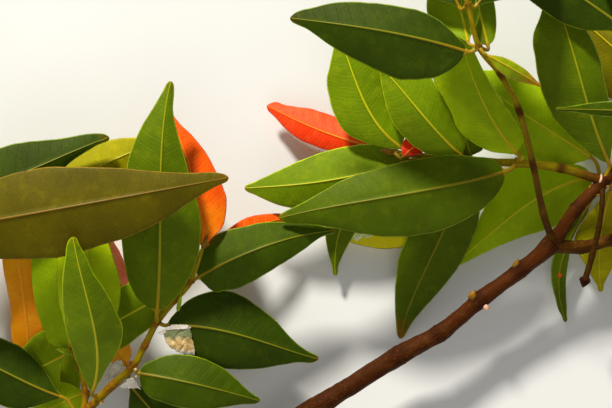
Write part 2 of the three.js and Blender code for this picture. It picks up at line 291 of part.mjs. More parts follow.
// ---------------------------------------------------------------- leaves
// half width at a place along a leaf, from its list
function half(widths, u) {
  const at = [0, ...HALF_AT, 1], w = [STALK_R * 0.7, ...widths, 0];
  for (let i = 1; i < at.length; i++) {
    if (u <= at[i]) return w[i - 1] + ((w[i] - w[i - 1]) * (u - at[i - 1])) / (at[i] - at[i - 1]);
  }
  return 0;
}

// One leaf with its stalk: a thin lens, folded along the midrib, arched and bowed.
function leafBody(node, leaf, grow = 0) {
  const [, stalk, blade, left, right, [bend0, bend1, bend2], arch, fold] = leaf;
  const base = node.clone().add(step(stalk));
  const chord = step(blade);
  const { side, up } = frameAt(chord);
  const f = rad(fold);
  const rings = [diamond(node, frameAt(step(stalk)), STALK_R + grow)];
  for (const u of LEAF_STATIONS) {
    const hump = 4 * u * (1 - u), m = 2 * u - 1;
    const bend = hump * (bend0 + bend1 * m + bend2 * m * m);
    const mid = base.clone().addScaledVector(chord, u).addScaledVector(side, bend).addScaledVector(up, arch * hump);
    const slope = 4 * (1 - 2 * u);
    const turn = slope * (bend0 + bend1 * m + bend2 * m * m) + hump * (2 * bend1 + 4 * bend2 * m);
    const along_ = chord.clone().addScaledVector(side, turn).addScaledVector(up, arch * slope).normalize();
    const s = new THREE.Vector3().crossVectors(up, along_).normalize();
    const n = new THREE.Vector3().crossVectors(along_, s);
    if (u === 1) { rings.push([mid.addScaledVector(along_, grow)]); break; }
    const l = Math.max(half(left, u), STALK_R * (1 - u)) + grow;
    const r = Math.max(half(right, u), STALK_R * (1 - u)) + grow;
    const thick = THREE.MathUtils.lerp(STALK_R, LEAF_THICK, Math.min(1, u * 4)) * Math.min(1, 3.4 * (1 - u)) + grow;
    const edge = (w, sign) => mid.clone()
      .addScaledVector(s, sign * w * Math.cos(f))
      .addScaledVector(n, -(w * Math.sin(f) + 0.1 * w) * Math.min(1, u * 6));
    rings.push([edge(l, 1), mid.clone().addScaledVector(n, thick), edge(r, -1), mid.clone().addScaledVector(n, -thick)]);
  }
  return solid(skin(rings));
}

function diamond(centre, { side, up }, r) {
  return [[1, 0], [0, 1], [-1, 0], [0, -1]].map(([a, b]) =>
    centre.clone().addScaledVector(side, a * r).addScaledVector(up, b * r));
}

// ---------------------------------------------------------------- assembly
const root = new THREE.Group();
root.position.set(ORIGIN[0], ORIGIN[1], 0);

function put(name, body, color, roughness) {
  const material = new THREE.MeshStandardMaterial({ color, roughness, metalness: 0 });
  const mesh = new THREE.Mesh(geometryOf(body), material);
  mesh.name = name;
  root.add(mesh);
}

// the long stem in three lengths, then the limbs that start on it
const fat = [];
const stems = [];
const main = limbs.main;
["stem_foot", "stem_middle", "stem_top"].forEach((name, i) => {
  stems.push([name, limbBody(main, MAIN_CUTS[i], MAIN_CUTS[i + 1], {
    trim: i === 0 ? 0 : GAP / 2, squareStart: i === 0 })]);
});
stems[0][1] = limbBody(main, MAIN_CUTS[0], MAIN_CUTS[1], { squareStart: true }).subtract(
  limbBody(main, MAIN_CUTS[1], MAIN_CUTS[2], { grow: 1, trim: -GAP / 2 }));
fat.push(limbBody(main, 0, main.count, { grow: GAP, squareStart: true, reach: GAP }));
const grownFat = { main: fat[0] };
for (const limb of LIMBS.slice(1)) {
  const l = limbs[limb.name];
  let body = limbBody(l, 0, l.count, { sides: TWIG_SIDES });
  if (limb.name === "fruit_stalk") body = body.add(fruitEnd(l));
  body = body.subtract(grownFat[limb.from[0]]);
  stems.push([limb.name, body]);
  grownFat[limb.name] = limbBody(l, 0, l.count, { grow: GAP, reach: GAP, sides: TWIG_SIDES });
  fat.push(grownFat[limb.name]);
}

// the dry stub of a fruit at the end of its stalk: a little cup with a point
function fruitEnd(l) {
  const end = l.curve.getPoint(1);
  const { t, side, up } = frameAt(l.curve.getTangent(1));
  const profile = [[-1.6, 0.6], [-0.4, 1.5], [1.2, 1.9], [2.0, 1.1]];
  const rings = profile.map(([d, r]) => {
    const ring = [];
    for (let k = 0; k < TWIG_SIDES; k++) {
      const a = (2 * Math.PI * k) / TWIG_SIDES;
      ring.push(end.clone().addScaledVector(t, d).addScaledVector(side, r * Math.cos(a)).addScaledVector(up, r * Math.sin(a)));
    }
    return ring;
  });
  rings.push([end.clone().addScaledVector(t, 3.6)]);
  return solid(skin(rings));
}

for (const [name, body] of stems) {
  put(name, body, name === "fruit_stalk" ? TONES.dry : name.startsWith("stem") ? TONES.bark : TONES.twig, 0.7);
}

// each spray: its leaves and a short sleeve round the limb, cut clear of every limb
const done = [];
for (const spray of SPRAYS) {
  const limb = limbs[spray.limb];
  const node = pointOn(spray.limb, spray.at);
  const internode = limb.nodes[Math.min(limb.nodes.length - 1, Math.floor(spray.at))][0];
  const span = SLEEVE_HALF / internode;
  const sleeve = (grow) => limbBody(limb, Math.max(0, spray.at - span), Math.min(limb.count, spray.at + span), {
    grow: GAP + SLEEVE_R + grow, sides: SLEEVE_SIDES, reach: grow + (spray.at >= limb.count - 0.01 ? GAP + SLEEVE_R : 0) });
  let body = sleeve(0);
  for (const leaf of spray.leaves) body = body.add(leafBody(node, leaf));
  for (const f of fat) body = body.subtract(f);
  for (const other of done) {
    if (body.intersect(other.body).volume() > 1e-6) body = body.subtract(other.fat());
  }
  done.push({ body, fat: () => spray.leaves.reduce((b, leaf) => b.add(leafBody(node, leaf, GAP)), sleeve(GAP)) });
  put(spray.name, body, spray.name.includes("flush") ? TONES.flush : TONES.leaf, 0.45);
}

export default root;
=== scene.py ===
"""The looks of a cut, leafy branch of a red lip tree, lying down: bark, twigs,
leaves, buds, dry skins and a dry fruit stalk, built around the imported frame."""
import math

import bpy
import numpy as np
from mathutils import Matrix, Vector


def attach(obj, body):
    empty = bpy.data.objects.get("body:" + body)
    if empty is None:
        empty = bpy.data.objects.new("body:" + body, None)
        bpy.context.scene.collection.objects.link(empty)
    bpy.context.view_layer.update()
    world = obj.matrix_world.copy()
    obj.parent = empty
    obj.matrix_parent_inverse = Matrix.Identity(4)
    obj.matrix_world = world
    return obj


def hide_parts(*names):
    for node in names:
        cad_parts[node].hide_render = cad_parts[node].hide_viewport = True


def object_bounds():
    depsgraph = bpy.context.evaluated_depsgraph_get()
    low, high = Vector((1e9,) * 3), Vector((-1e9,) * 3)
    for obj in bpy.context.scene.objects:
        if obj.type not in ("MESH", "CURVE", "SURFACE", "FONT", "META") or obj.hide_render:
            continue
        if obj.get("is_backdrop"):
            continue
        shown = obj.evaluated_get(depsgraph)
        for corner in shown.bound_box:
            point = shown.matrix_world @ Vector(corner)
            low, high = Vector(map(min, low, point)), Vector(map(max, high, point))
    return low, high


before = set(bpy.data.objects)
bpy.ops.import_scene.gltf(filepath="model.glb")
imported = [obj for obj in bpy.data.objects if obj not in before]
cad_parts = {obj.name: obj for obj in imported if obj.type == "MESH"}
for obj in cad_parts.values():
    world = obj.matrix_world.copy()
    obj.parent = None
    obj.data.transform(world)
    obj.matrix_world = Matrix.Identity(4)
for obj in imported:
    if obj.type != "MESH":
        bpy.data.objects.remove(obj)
cad_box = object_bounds()

# ------------------------------------------------------------------ sizes, mm
SHIFT = np.array([-4.641, 7.552, 0.0])   # the table's origin in the row's frame
NODE_SWELL, NODE_REACH = 0.10, 0.22       # a limb is thicker at its nodes
RIB_WIDE = (0.62, 0.15)                   # half width of a midrib, at its foot and its tip
RIB_HIGH = (0.42, 0.09)                   # and how far it stands off the blade
BLADE_THICK = (0.34, 0.22)                # a blade beside its midrib and at its margin
MARGIN = 0.36                             # width of the pale rim
STALK_R = 0.80                            # width of the pale rim, whose paleness is painted glow of light through the thin margin
TIP_R = 1.15                              # leaf tips are blunt, of this half width
VEIN_GAP = 1.50                           # between fine side veins

# places along a leaf, as a share of its length, where its half widths are given
HALF_AT = [0.04, 0.11, 0.20, 0.31, 0.43, 0.55, 0.67, 0.79, 0.89, 0.96]

# limb: its start, radii at foot and tip, and its internodes: length, heading, rise
LIMBS = [
    ("main", [-158.6, -119.4, 4.6], 4.6, 1.3, [[32.8,6.6,4.2], [30.5,4.3,4.7], [34.8,12.5,4.1], [36.0,20.4,3.2], [36.2,29.3,3.2], [37.2,32.3,3.8], [16.9,29.3,5.1], [19.2,39.9,4.5], [18.3,37.3,4.7], [15.3,40.9,7.5], [15.2,55.7,7.6], [13.9,45.8,8.3], [17.6,41.5,6.5], [15.3,41.5,3.8], [16.2,42.3,-0.0], [16.4,41.9,-3.6]]),
    ("left_twig", ('main', 1.0), 1.95, 0.8, [[29.7,42.3,11.7], [18.7,40.8,15.4], [15.1,39.8,15.4], [12.5,43.7,13.9], [11.4,43.5,15.3], [9.2,59.9,12.5], [9.8,62.0,11.7], [10.7,50.5,10.8], [8.8,49.9,13.1], [13.7,69.2,8.4]]),
    ("outer_twig", ('left_twig', 0.7), 1.7, 0.9, [[26.3,133.4,19.3], [26.3,113.8,22.3], [27.1,98.6,21.7], [25.1,92.4,21.0], [19.6,90.8,5.9]]),
    ("inner_twig", ('left_twig', 2.81), 1.1, 0.9, [[8.2,87.9,-5.7], [9.4,104.0,-3.0], [6.8,112.3,-0.1]]),
    ("back_twig", ('outer_twig', 3.52), 1.0, 0.8, [[21.4,53.0,-19.6], [21.0,31.8,-19.4], [16.4,-5.2,-16.0]]),
    ("right_twig", ('main', 12.03), 1.7, 1.0, [[17.1,163.8,6.5], [16.0,173.6,7.2], [9.8,177.9,-0.1], [9.8,174.6,-5.8], [13.4,175.2,-4.3], [11.7,172.7,-4.9]]),
    ("front_twig", ('main', 10.04), 1.3, 0.75, [[17.0,115.2,44.6], [21.7,107.2,36.7], [23.2,108.4,31.2], [15.7,121.3,26.5], [12.7,130.8,23.1], [15.3,106.9,19.2], [15.1,106.9,11.4]]),
    ("corner_twig", ('main', 13.06), 1.5, 1.0, [[18.2,65.5,40.8], [19.7,85.3,37.6], [17.5,104.6,30.9]]),
    ("low_twig", ('main', 9.93), 2.7, 1.1, [[12.2,-3.4,-8.7], [11.5,12.9,-5.0], [16.4,7.6,-7.0], [17.5,-5.0,-9.9], [14.3,-12.6,-12.1]]),
    ("fruit_stalk", ('main', 11.98), 0.8, 1.15, [[8.6,-93.8,17.2], [8.4,-96.9,-3.5], [10.6,-102.8,-8.2], [9.2,-104.9,-9.3]]),
]

# mass: its limb, the node it grows at, and its leaves: tone, stalk, blade, left and right
# half widths, bends, arch, fold
SPRAYS = [
    ("left_flush", "left_twig", 10.0, [
        ("A5", "red",[0.0,-143.8,28.3], [51.1,105.4,-7.9], [1.7,3.5,5.2,6.6,7.6,8.0,7.6,6.3,4.4,1.8], [2.7,7.1,9.3,10.5,9.7,8.5,6.9,4.6,2.3,1.5], [-2.8,-0.1,-0.3],2,14),
        ("A6", "red",[8.0,24.6,-60.5], [32.1,18.1,-25.9], [0.4,1.0,1.8,2.7,3.6,3.8,3.5,2.9,2.3,1.4], [0.9,2.4,3.2,4.0,4.7,4.9,4.8,3.8,2.7,1.5], [1.1,-0.4,-0.1],0.5,14),
    ]),
    ("left_tip_leaves", "left_twig", 9.0, [
        ("A7", "dark",[3.4,29.6,-35.6], [53.3,18.8,-4.3], [4.2,8.9,10.9,10.6,9.5,8.6,6.7,4.5,2.7,1.4], [6.9,9.2,10.7,10.7,9.9,8.7,7.1,4.7,2.1,1.3], [3.0,0.3,0.3],5,14),
        ("A11", "fresh",[6.0,-149.8,-56.7], [56.7,-151.3,-19.0], [1.7,4.5,6.4,7.7,8.8,9.8,9.6,7.3,4.1,1.8], [5.5,8.7,10.4,10.5,10.2,9.4,8.0,5.8,3.2,1.4], [-0.3,0.1,-0.1],1,10),
    ]),
    ("left_top_leaves", "left_twig", 7.0, [
        ("A4", "mid",[6.2,83.5,54.4], [83.8,85.9,8.9], [6.2,11.0,13.1,14.5,14.7,13.8,12.3,8.7,4.4,2.0], [4.2,8.7,12.4,14.3,14.2,11.8,8.9,5.3,2.6,2.0], [0.6,2.1,0.7],8,12),
        ("A8", "deep",[3.5,-20.9,0.2], [57.7,-13.2,-10.0], [3.6,8.6,12.2,14.5,14.0,11.5,8.6,4.5,2.2,1.5], [6.2,10.1,12.4,13.8,13.9,12.7,10.2,6.2,3.2,2.2], [2.6,-1.8,-0.1],4,13),
    ]),
    ("left_low_leaves", "left_twig", 5.0, [
        ("A9", "dark",[3.7,-50.7,32.7], [45.6,-13.3,-3.8], [3.5,6.0,8.2,9.5,9.8,9.1,7.6,4.9,2.5,1.4], [5.2,8.5,9.4,10.0,10.0,9.2,7.5,5.1,3.0,2.0], [1.4,-0.1,-0.1],6,12),
        ("A12", "amber",[9.5,-156.8,-72.0], [19.5,126.8,-41.7], [0.7,1.9,3.3,4.3,4.7,4.5,3.8,2.6,1.5,0.7], [0.7,1.9,3.3,4.3,4.7,4.5,3.8,2.6,1.5,0.7], [0.0,0.0,0.0],1,12),
        ("A10", "deep",[9.8,-102.6,-38.0], [39.6,-50.7,-20.7], [1.5,4.1,7.1,9.3,10.2,9.7,8.2,5.7,3.2,1.4], [1.6,4.4,7.6,10.0,10.9,10.4,8.8,6.1,3.4,1.5], [0.0,0.0,0.0],3,12),
    ]),
    ("left_rise_leaves", "left_twig", 3.39, [
        ("A15", "fresh",[6.8,118.8,57.8], [68.0,92.4,32.9], [2.5,5.8,8.2,9.7,11.0,10.8,9.4,7.2,4.5,2.9], [1.1,2.1,4.2,8.0,9.9,8.4,6.7,4.3,3.1,1.7], [-4.1,2.4,0.4],5,14),
    ]),
    ("inner_leaves", "inner_twig", 3.0, [
        ("A14", "lime",[1.3,-133.5,48.2], [59.4,98.2,8.8], [6.8,8.9,10.6,11.4,11.7,11.1,10.1,8.4,6.0,2.9], [2.9,5.6,7.6,8.9,9.4,9.0,7.8,6.0,3.7,1.7], [-1.8,-0.4,0.3],4,12),
        ("A16", "glow",[5.3,-7.0,49.3], [62.4,87.1,15.8], [3.4,8.0,11.0,12.6,13.1,12.5,10.7,7.9,4.8,2.1], [2.4,6.2,9.3,10.8,10.8,8.9,7.0,5.2,3.1,1.4], [-3.7,1.5,0.3],4,12),
        ("A18", "bright",[3.1,-134.9,9.4], [30.9,-157.7,-10.2], [1.3,2.7,7.0,11.4,13.0,13.6,13.3,10.9,6.3,3.0], [5.4,11.4,12.0,11.5,10.0,8.8,7.5,5.8,3.6,1.6], [1.1,0.2,-0.1],2,14),
    ]),
    ("left_base_leaves", "left_twig", 2.61, [
        ("A17", "deep",[9.6,128.0,8.7], [49.9,156.6,-1.2], [2.1,5.6,9.7,12.1,12.7,12.6,11.7,9.0,5.8,2.6], [1.5,4.2,7.1,9.3,10.7,10.4,9.8,7.9,5.2,2.3], [-0.8,-1.3,0.3],4,12),
        ("A19", "lime",[11.0,76.5,-36.8], [24.9,-156.0,-16.2], [1.2,3.2,5.6,7.3,8.0,7.7,6.5,4.5,2.5,1.1], [1.2,3.2,5.6,7.3,8.0,7.7,6.5,4.5,2.5,1.1], [0.0,0.0,0.0],2,12),
        ("A20", "bright",[11.9,96.8,-62.2], [30.8,145.2,-15.1], [1.2,3.2,5.6,7.3,8.0,7.7,6.5,4.5,2.5,1.1], [1.7,4.6,7.9,10.3,11.3,10.8,9.1,6.3,3.5,1.6], [0.0,0.0,0.0],1,12),
    ]),
    ("outer_top_leaves", "outer_twig", 4.96, [
        ("A1", "deep",[8.3,-49.9,-20.6], [71.5,19.4,-3.2], [2.4,6.4,9.9,11.8,12.0,11.4,9.0,6.2,4.4,2.7], [2.3,6.2,8.6,9.1,8.3,7.4,5.7,2.9,1.6,0.9], [-2.3,1.8,0.3],3,12),
        ("A1b", "mid",[7.8,135.2,-14.2], [58.2,126.7,-14.9], [1.6,4.4,7.6,10.0,10.9,10.4,8.8,6.1,3.4,1.5], [1.6,4.4,7.6,10.0,10.9,10.4,8.8,6.1,3.4,1.5], [0.0,0.0,0.0],5,12),
        ("A1c", "fresh",[7.8,72.7,7.9], [55.3,67.1,-2.1], [1.6,4.3,7.4,9.7,10.5,10.1,8.5,5.9,3.3,1.5], [1.6,4.3,7.4,9.7,10.5,10.1,8.5,5.9,3.3,1.5], [0.0,0.0,0.0],6,12),
    ]),
    ("outer_front_leaves", "outer_twig", 4.04, [
        ("A3", "umber",[10.2,13.3,28.0], [108.3,10.1,3.2], [4.5,9.7,13.1,15.2,15.2,13.0,10.2,6.6,4.1,2.8], [4.6,9.3,13.2,15.4,16.8,15.5,13.7,9.7,4.8,2.1], [-0.3,0.1,-0.1],6,9),
        ("A3b", "mid",[8.6,-159.6,-8.0], [53.5,148.1,-10.8], [2.0,5.3,9.2,12.0,13.1,12.5,10.6,7.3,4.1,1.8], [2.0,5.3,9.2,12.0,13.1,12.5,10.6,7.3,4.1,1.8], [0.0,0.0,0.0],5,12),
    ]),
    ("outer_low_leaves", "outer_twig", 2.81, [
        ("O2a", "dark",[4.2,-1.4,-2.0], [34.0,46.3,13.6], [1.4,3.7,6.4,8.3,9.1,8.7,7.4,5.1,2.8,1.3], [1.4,3.7,6.4,8.3,9.1,8.7,7.4,5.1,2.8,1.3], [0.0,0.0,0.0],1,12),
        ("O2b", "dark",[5.6,-161.2,-22.6], [65.8,172.0,-33.1], [1.7,4.7,8.2,10.7,11.6,11.1,9.4,6.5,3.6,1.6], [1.7,4.7,8.2,10.7,11.6,11.1,9.4,6.5,3.6,1.6], [0.0,0.0,0.0],8,12),
    ]),
    ("outer_base_leaves", "outer_twig", 1.38, [
        ("O1a", "mid",[4.5,142.5,4.0], [61.0,175.9,-22.8], [1.8,4.8,8.4,11.0,12.0,11.5,9.7,6.7,3.7,1.7], [1.8,4.8,8.4,11.0,12.0,11.5,9.7,6.7,3.7,1.7], [0.0,0.0,0.0],8,12),
        ("L0b", "dark",[12.0,-113.1,-39.8], [49.7,-154.9,-18.2], [1.4,3.8,6.6,8.7,9.4,9.0,7.7,5.3,2.9,1.3], [1.4,3.8,6.6,8.7,9.4,9.0,7.7,5.3,2.9,1.3], [0.0,0.0,0.0],4,12),
    ]),
    ("back_flush", "back_twig", 2.02, [
        ("A13", "amber",[8.3,-45.6,-52.0], [70.9,-84.0,-10.6], [1.3,3.6,4.9,6.4,6.7,6.7,6.5,5.3,3.3,1.4], [1.5,4.2,5.7,6.4,6.0,5.8,6.6,5.9,3.9,1.7], [1.1,-0.5,-0.1],1,12),
    ]),
    ("back_tip_flush", "back_twig", 3.0, [
        ("A21", "pink",[9.1,-30.9,-29.8], [44.6,-51.8,-21.0], [1.2,3.2,5.6,7.3,8.0,7.7,6.5,4.5,2.5,1.1], [1.1,2.9,5.1,6.7,7.3,7.0,5.9,4.1,2.3,1.0], [0.0,0.0,0.0],2,12),
    ]),
    ("back_leaves", "back_twig", 2.5, [
        ("A2", "yellow",[7.4,-40.9,47.1], [56.7,25.3,-0.0], [1.4,3.7,6.4,8.3,9.1,8.7,7.4,5.1,2.8,1.3], [1.3,3.5,6.1,8.0,8.7,8.4,7.1,4.9,2.7,1.2], [1.1,0.0,0.0],3,12),
    ]),
    ("left_foot_leaves", "left_twig", 1.07, [
        ("L0a", "mid",[6.2,-16.1,-45.3], [37.1,1.5,-10.9], [1.2,3.2,5.6,7.3,8.0,7.7,6.5,4.5,2.5,1.1], [1.0,2.8,4.8,6.3,6.9,6.6,5.6,3.9,2.2,1.0], [0.0,0.0,0.0],3,12),
    ]),
    ("right_flush", "right_twig", 6.0, [
        ("B1", "flame",[9.2,163.9,-56.8], [47.2,158.1,-17.3], [1.0,2.3,3.8,5.1,6.2,6.4,6.1,4.7,2.8,1.8], [2.1,4.0,5.6,6.8,7.1,6.9,6.3,4.5,3.3,2.7], [1.5,-0.1,-0.2],1.0,14),
        ("B21", "scarlet",[5.3,-29.5,48.6], [17.9,43.1,-9.6], [1.5,2.8,3.8,4.3,4.4,4.0,3.2,2.2,1.2,0.5], [0.5,1.5,2.5,3.3,3.6,3.5,2.9,2.0,1.1,0.5], [0.0,0.0,0.0],0.5,8),
    ]),
    ("right_tip_leaves", "right_twig", 5.12, [
        ("B2", "fresh",[7.9,158.3,8.2], [50.2,118.5,1.1], [2.2,4.6,8.2,11.6,11.9,11.1,9.6,5.8,2.9,1.3], [6.2,8.3,9.9,10.9,11.5,11.4,10.3,8.0,4.8,2.1], [3.9,-2.5,0.4],3,12),
        ("B3", "fresh",[6.0,-158.4,-53.7], [62.3,-170.5,-2.8], [2.0,4.3,6.7,8.7,9.9,9.9,9.1,7.7,4.6,2.2], [4.2,7.6,10.1,11.2,11.3,10.6,8.7,6.1,3.5,1.8], [2.4,-0.2,-0.5],3,12),
        ("B5", "mid",[10.4,-135.3,-58.7], [51.1,-123.8,-17.1], [0.8,2.4,4.4,6.2,6.9,6.7,5.8,4.2,2.3,1.0], [0.9,2.5,4.8,6.6,7.3,7.1,6.2,4.4,2.4,1.0], [-9.5,0.0,0.0],1,12),
    ]),
    ("right_mid_leaves", "right_twig", 4.0, [
        ("B16b", "fresh",[2.4,111.8,56.6], [44.2,132.9,7.8], [2.4,4.9,7.8,9.7,10.2,10.4,9.1,6.8,4.3,2.2], [4.1,7.5,9.3,9.8,10.1,10.8,11.4,10.1,7.2,3.6], [0.8,-0.9,-0.1],4,12),
        ("B7", "gold",[16.4,-95.1,-66.5], [54.2,-157.9,-13.8], [1.6,4.4,7.6,10.0,10.9,10.4,8.8,6.1,3.4,1.5], [1.5,4.1,7.1,9.3,10.2,9.7,8.2,5.7,3.2,1.4], [5.9,0.0,0.0],1,8),
        ("B17", "mid",[3.4,23.2,-16.9], [14.5,107.0,-4.0], [3.0,4.4,5.0,5.2,5.0,4.6,4.0,3.0,1.8,0.9], [4.0,5.2,5.6,5.6,5.2,4.6,3.8,2.8,1.7,0.9], [0.0,0.0,0.0],1,8),
        ("B8", "worn",[10.0,-79.7,-53.4], [69.2,-109.9,-19.8], [4.3,8.7,10.8,11.6,11.5,10.5,8.3,5.5,3.0,1.8], [1.8,6.8,10.1,11.5,11.1,10.9,8.7,6.0,3.6,2.0], [-0.8,-2.4,-0.2],4,10),
    ]),
    ("right_base_leaves", "right_twig", 2.0, [
        ("B4", "moss",[6.4,-143.7,38.5], [83.8,-168.3,0.0], [5.1,10.0,13.1,15.6,15.7,14.5,11.6,7.5,4.5,2.8], [5.2,8.1,10.6,11.7,11.7,10.8,9.7,6.5,3.5,2.1], [0.5,-1.4,-0.2],7,11),
        ("B16a", "lime",[5.1,91.6,51.8], [56.2,115.1,10.2], [2.4,6.6,9.8,12.4,12.0,12.7,13.2,11.4,6.3,3.0], [5.5,6.7,7.2,6.9,6.1,5.1,4.1,3.2,2.2,1.0], [4.3,-0.7,0.5],4,12),
    ]),
    ("right_heel_leaves", "main", 11.96, [
        ("B9", "lime",[8.4,124.8,-70.1], [65.8,-146.4,-13.2], [6.2,10.1,12.4,13.1,11.5,8.7,6.1,3.9,2.2,1.0], [4.3,7.2,10.7,13.9,14.1,10.5,6.7,2.4,1.3,0.6], [-4.4,2.8,-1.0],1,12),
        ("B12", "mid",[8.5,74.7,28.5], [68.4,110.7,12.7], [2.6,5.6,8.6,12.4,13.9,14.1,13.2,11.6,6.3,3.0], [2.0,5.3,7.3,8.2,8.9,9.3,8.5,6.4,4.0,1.8], [1.1,-1.8,-0.2],7,12),
        ("B16c", "lime",[9.9,110.0,-8.3], [55.0,145.1,-1.6], [3.3,7.4,12.3,14.1,14.3,13.7,11.8,9.2,4.0,1.8], [1.6,4.3,7.0,9.5,11.6,12.5,13.0,12.3,6.3,3.0], [1.0,0.7,-0.4],1,12),
        ("B20", "yellow",[12.2,-21.8,-63.3], [39.9,-93.2,-14.6], [2.2,4.0,5.9,7.4,8.2,8.1,7.3,5.0,2.6,1.1], [1.4,2.7,4.2,6.4,8.6,9.3,6.7,3.9,2.1,0.9], [-2.3,0.0,0.3],1,12),
    ]),
    ("front_leaves", "front_twig", 5.0, [
        ("B6", "deep",[4.1,-156.1,0.3], [62.2,168.7,-5.5], [5.8,10.8,13.3,15.0,14.1,12.0,9.9,6.7,3.3,1.9], [2.6,5.4,8.4,9.8,9.8,9.4,8.8,7.2,4.7,3.0], [-1.1,0.5,-0.0],5,12),
        ("B11", "turning",[3.3,-51.7,18.2], [24.3,-27.1,-21.7], [0.4,1.0,1.8,2.3,2.5,2.4,2.1,1.4,0.8,0.4], [0.5,1.3,2.3,3.0,3.3,3.1,2.6,1.8,1.0,0.5], [0.0,0.0,0.0],2,12),
        ("B10d", "bright",[5.0,150.5,-36.4], [33.7,101.6,-19.1], [1.7,4.6,7.9,10.3,11.3,10.8,9.1,6.3,3.5,1.6], [1.1,2.9,5.1,6.7,7.3,7.0,5.9,4.1,2.3,1.0], [0.0,0.0,0.0],1,12),
        ("B10f", "fresh",[8.9,15.2,-63.8], [41.5,97.2,-22.6], [2.5,4.0,5.2,6.0,6.2,5.8,5.0,3.7,2.2,1.0], [2.5,4.0,5.2,6.0,6.2,5.8,5.0,3.7,2.2,1.0], [1.5,0.6,-0.1],2,12),
    ]),
    ("front_upper_leaves", "front_twig", 6.0, [
        ("B10a", "deep",[4.0,-163.6,-49.6], [39.1,115.7,-14.8], [1.6,4.4,7.6,10.0,10.9,10.4,8.8,6.1,3.4,1.5], [1.6,4.4,7.6,10.0,10.9,10.4,8.8,6.1,3.4,1.5], [0.0,0.0,0.0],3,12),
        ("B10b", "deep",[3.0,-5.1,-19.9], [44.1,52.6,-18.5], [1.5,4.1,7.1,9.3,10.2,9.7,8.2,5.7,3.2,1.4], [1.5,4.1,7.1,9.3,10.2,9.7,8.2,5.7,3.2,1.4], [0.0,0.0,0.0],4,12),
    ]),
    ("front_tip_leaves", "front_twig", 7.0, [
        ("B10c", "mid",[1.3,89.2,0.1], [29.1,166.0,-3.9], [1.2,3.2,5.6,7.3,8.0,7.7,6.5,4.5,2.5,1.1], [1.2,3.2,5.6,7.3,8.0,7.7,6.5,4.5,2.5,1.1], [0.0,0.0,0.0],3,12),
        ("B10e", "bright",[2.4,55.5,0.0], [26.1,81.7,-8.8], [1.0,2.6,4.6,6.0,6.5,6.3,5.3,3.7,2.0,0.9], [1.0,2.6,4.6,6.0,6.5,6.3,5.3,3.7,2.0,0.9], [0.0,0.0,0.0],3,12),
    ]),
    ("corner_leaves", "corner_twig", 2.04, [
        ("B13", "deep",[8.3,141.5,-9.8], [77.3,145.8,-3.0], [2.1,2.3,3.3,8.6,11.0,11.0,10.2,7.6,4.2,1.8], [1.5,4.1,6.3,8.4,8.7,8.2,7.1,5.4,3.8,1.7], [-0.3,-0.2,0.1],5,12),
        ("B13b", "dark",[4.1,45.5,-5.8], [54.7,53.0,-15.9], [1.6,4.3,7.4,9.7,10.5,10.1,8.5,5.9,3.3,1.5], [1.6,4.3,7.4,9.7,10.5,10.1,8.5,5.9,3.3,1.5], [0.0,0.0,0.0],6,12),
    ]),
    ("corner_tip_leaves", "corner_twig", 3.0, [
        ("B13c", "mid",[3.5,134.8,0.2], [38.2,132.2,-3.0], [1.3,3.5,6.1,8.0,8.7,8.4,7.1,4.9,2.7,1.2], [1.2,3.2,5.6,7.3,8.0,7.7,6.5,4.5,2.5,1.1], [0.0,0.0,0.0],4,12),
        ("B13d", "fresh",[4.2,55.5,0.2], [43.2,65.7,-8.0], [1.2,3.4,5.9,7.7,8.4,8.0,6.8,4.7,2.6,1.2], [1.3,3.5,6.1,8.0,8.7,8.4,7.1,4.9,2.7,1.2], [0.0,0.0,0.0],4,12),
    ]),
    ("corner_low_leaves", "corner_twig", 1.0, [
        ("B15", "dark",[5.1,-178.4,36.4], [40.2,179.6,23.5], [0.4,1.0,1.8,2.3,2.5,2.4,2.1,1.4,0.8,0.4], [0.5,1.3,2.3,3.0,3.3,3.1,2.6,1.8,1.0,0.5], [0.0,0.0,0.0],3,12),
        ("B15b", "mid",[4.6,1.0,-12.3], [47.8,24.9,-14.6], [1.6,4.4,7.6,10.0,10.9,10.4,8.8,6.1,3.4,1.5], [1.6,4.4,7.6,10.0,10.9,10.4,8.8,6.1,3.4,1.5], [0.0,0.0,0.0],6,12),
    ]),
    ("stem_side_leaves", "main", 14.96, [
        ("B14", "olive",[12.0,-117.4,-42.0], [58.2,137.1,-5.9], [2.2,5.9,10.2,13.3,14.5,13.9,11.8,8.1,4.5,2.0], [1.8,5.0,8.7,11.3,12.4,11.8,10.0,6.9,3.9,1.7], [0.0,0.0,0.0],3,12),
        ("B14b", "dark",[5.1,-20.3,-11.8], [57.0,-39.5,-31.7], [1.6,4.3,7.4,9.7,10.5,10.1,8.5,5.9,3.3,1.5], [1.6,4.3,7.4,9.7,10.5,10.1,8.5,5.9,3.3,1.5], [0.0,0.0,0.0],8,12),
    ]),
    ("stem_tip_leaves", "main", 16.0, [
        ("B14c", "mid",[4.5,92.2,-12.6], [57.3,82.6,-31.1], [1.5,4.0,6.9,9.0,9.8,9.4,7.9,5.5,3.1,1.4], [1.5,4.0,6.9,9.0,9.8,9.4,7.9,5.5,3.1,1.4], [0.0,0.0,0.0],8,12),
        ("B14d", "fresh",[4.3,5.7,-13.2], [56.5,9.1,-29.7], [1.5,4.0,6.9,9.0,9.8,9.4,7.9,5.5,3.1,1.4], [1.5,4.0,6.9,9.0,9.8,9.4,7.9,5.5,3.1,1.4], [0.0,0.0,0.0],7,12),
    ]),
    ("low_leaves", "main", 11.63, [
        ("B18", "moss",[14.2,-85.0,-68.9], [45.6,-98.7,-14.0], [1.4,1.2,0.8,0.9,2.3,2.8,2.9,2.6,2.0,1.1], [1.1,2.5,3.0,3.2,3.3,3.3,2.7,1.7,1.4,0.7], [-6.1,-0.9,0.6],2,12),
    ]),
    ("low_mid_leaves", "low_twig", 3.0, [
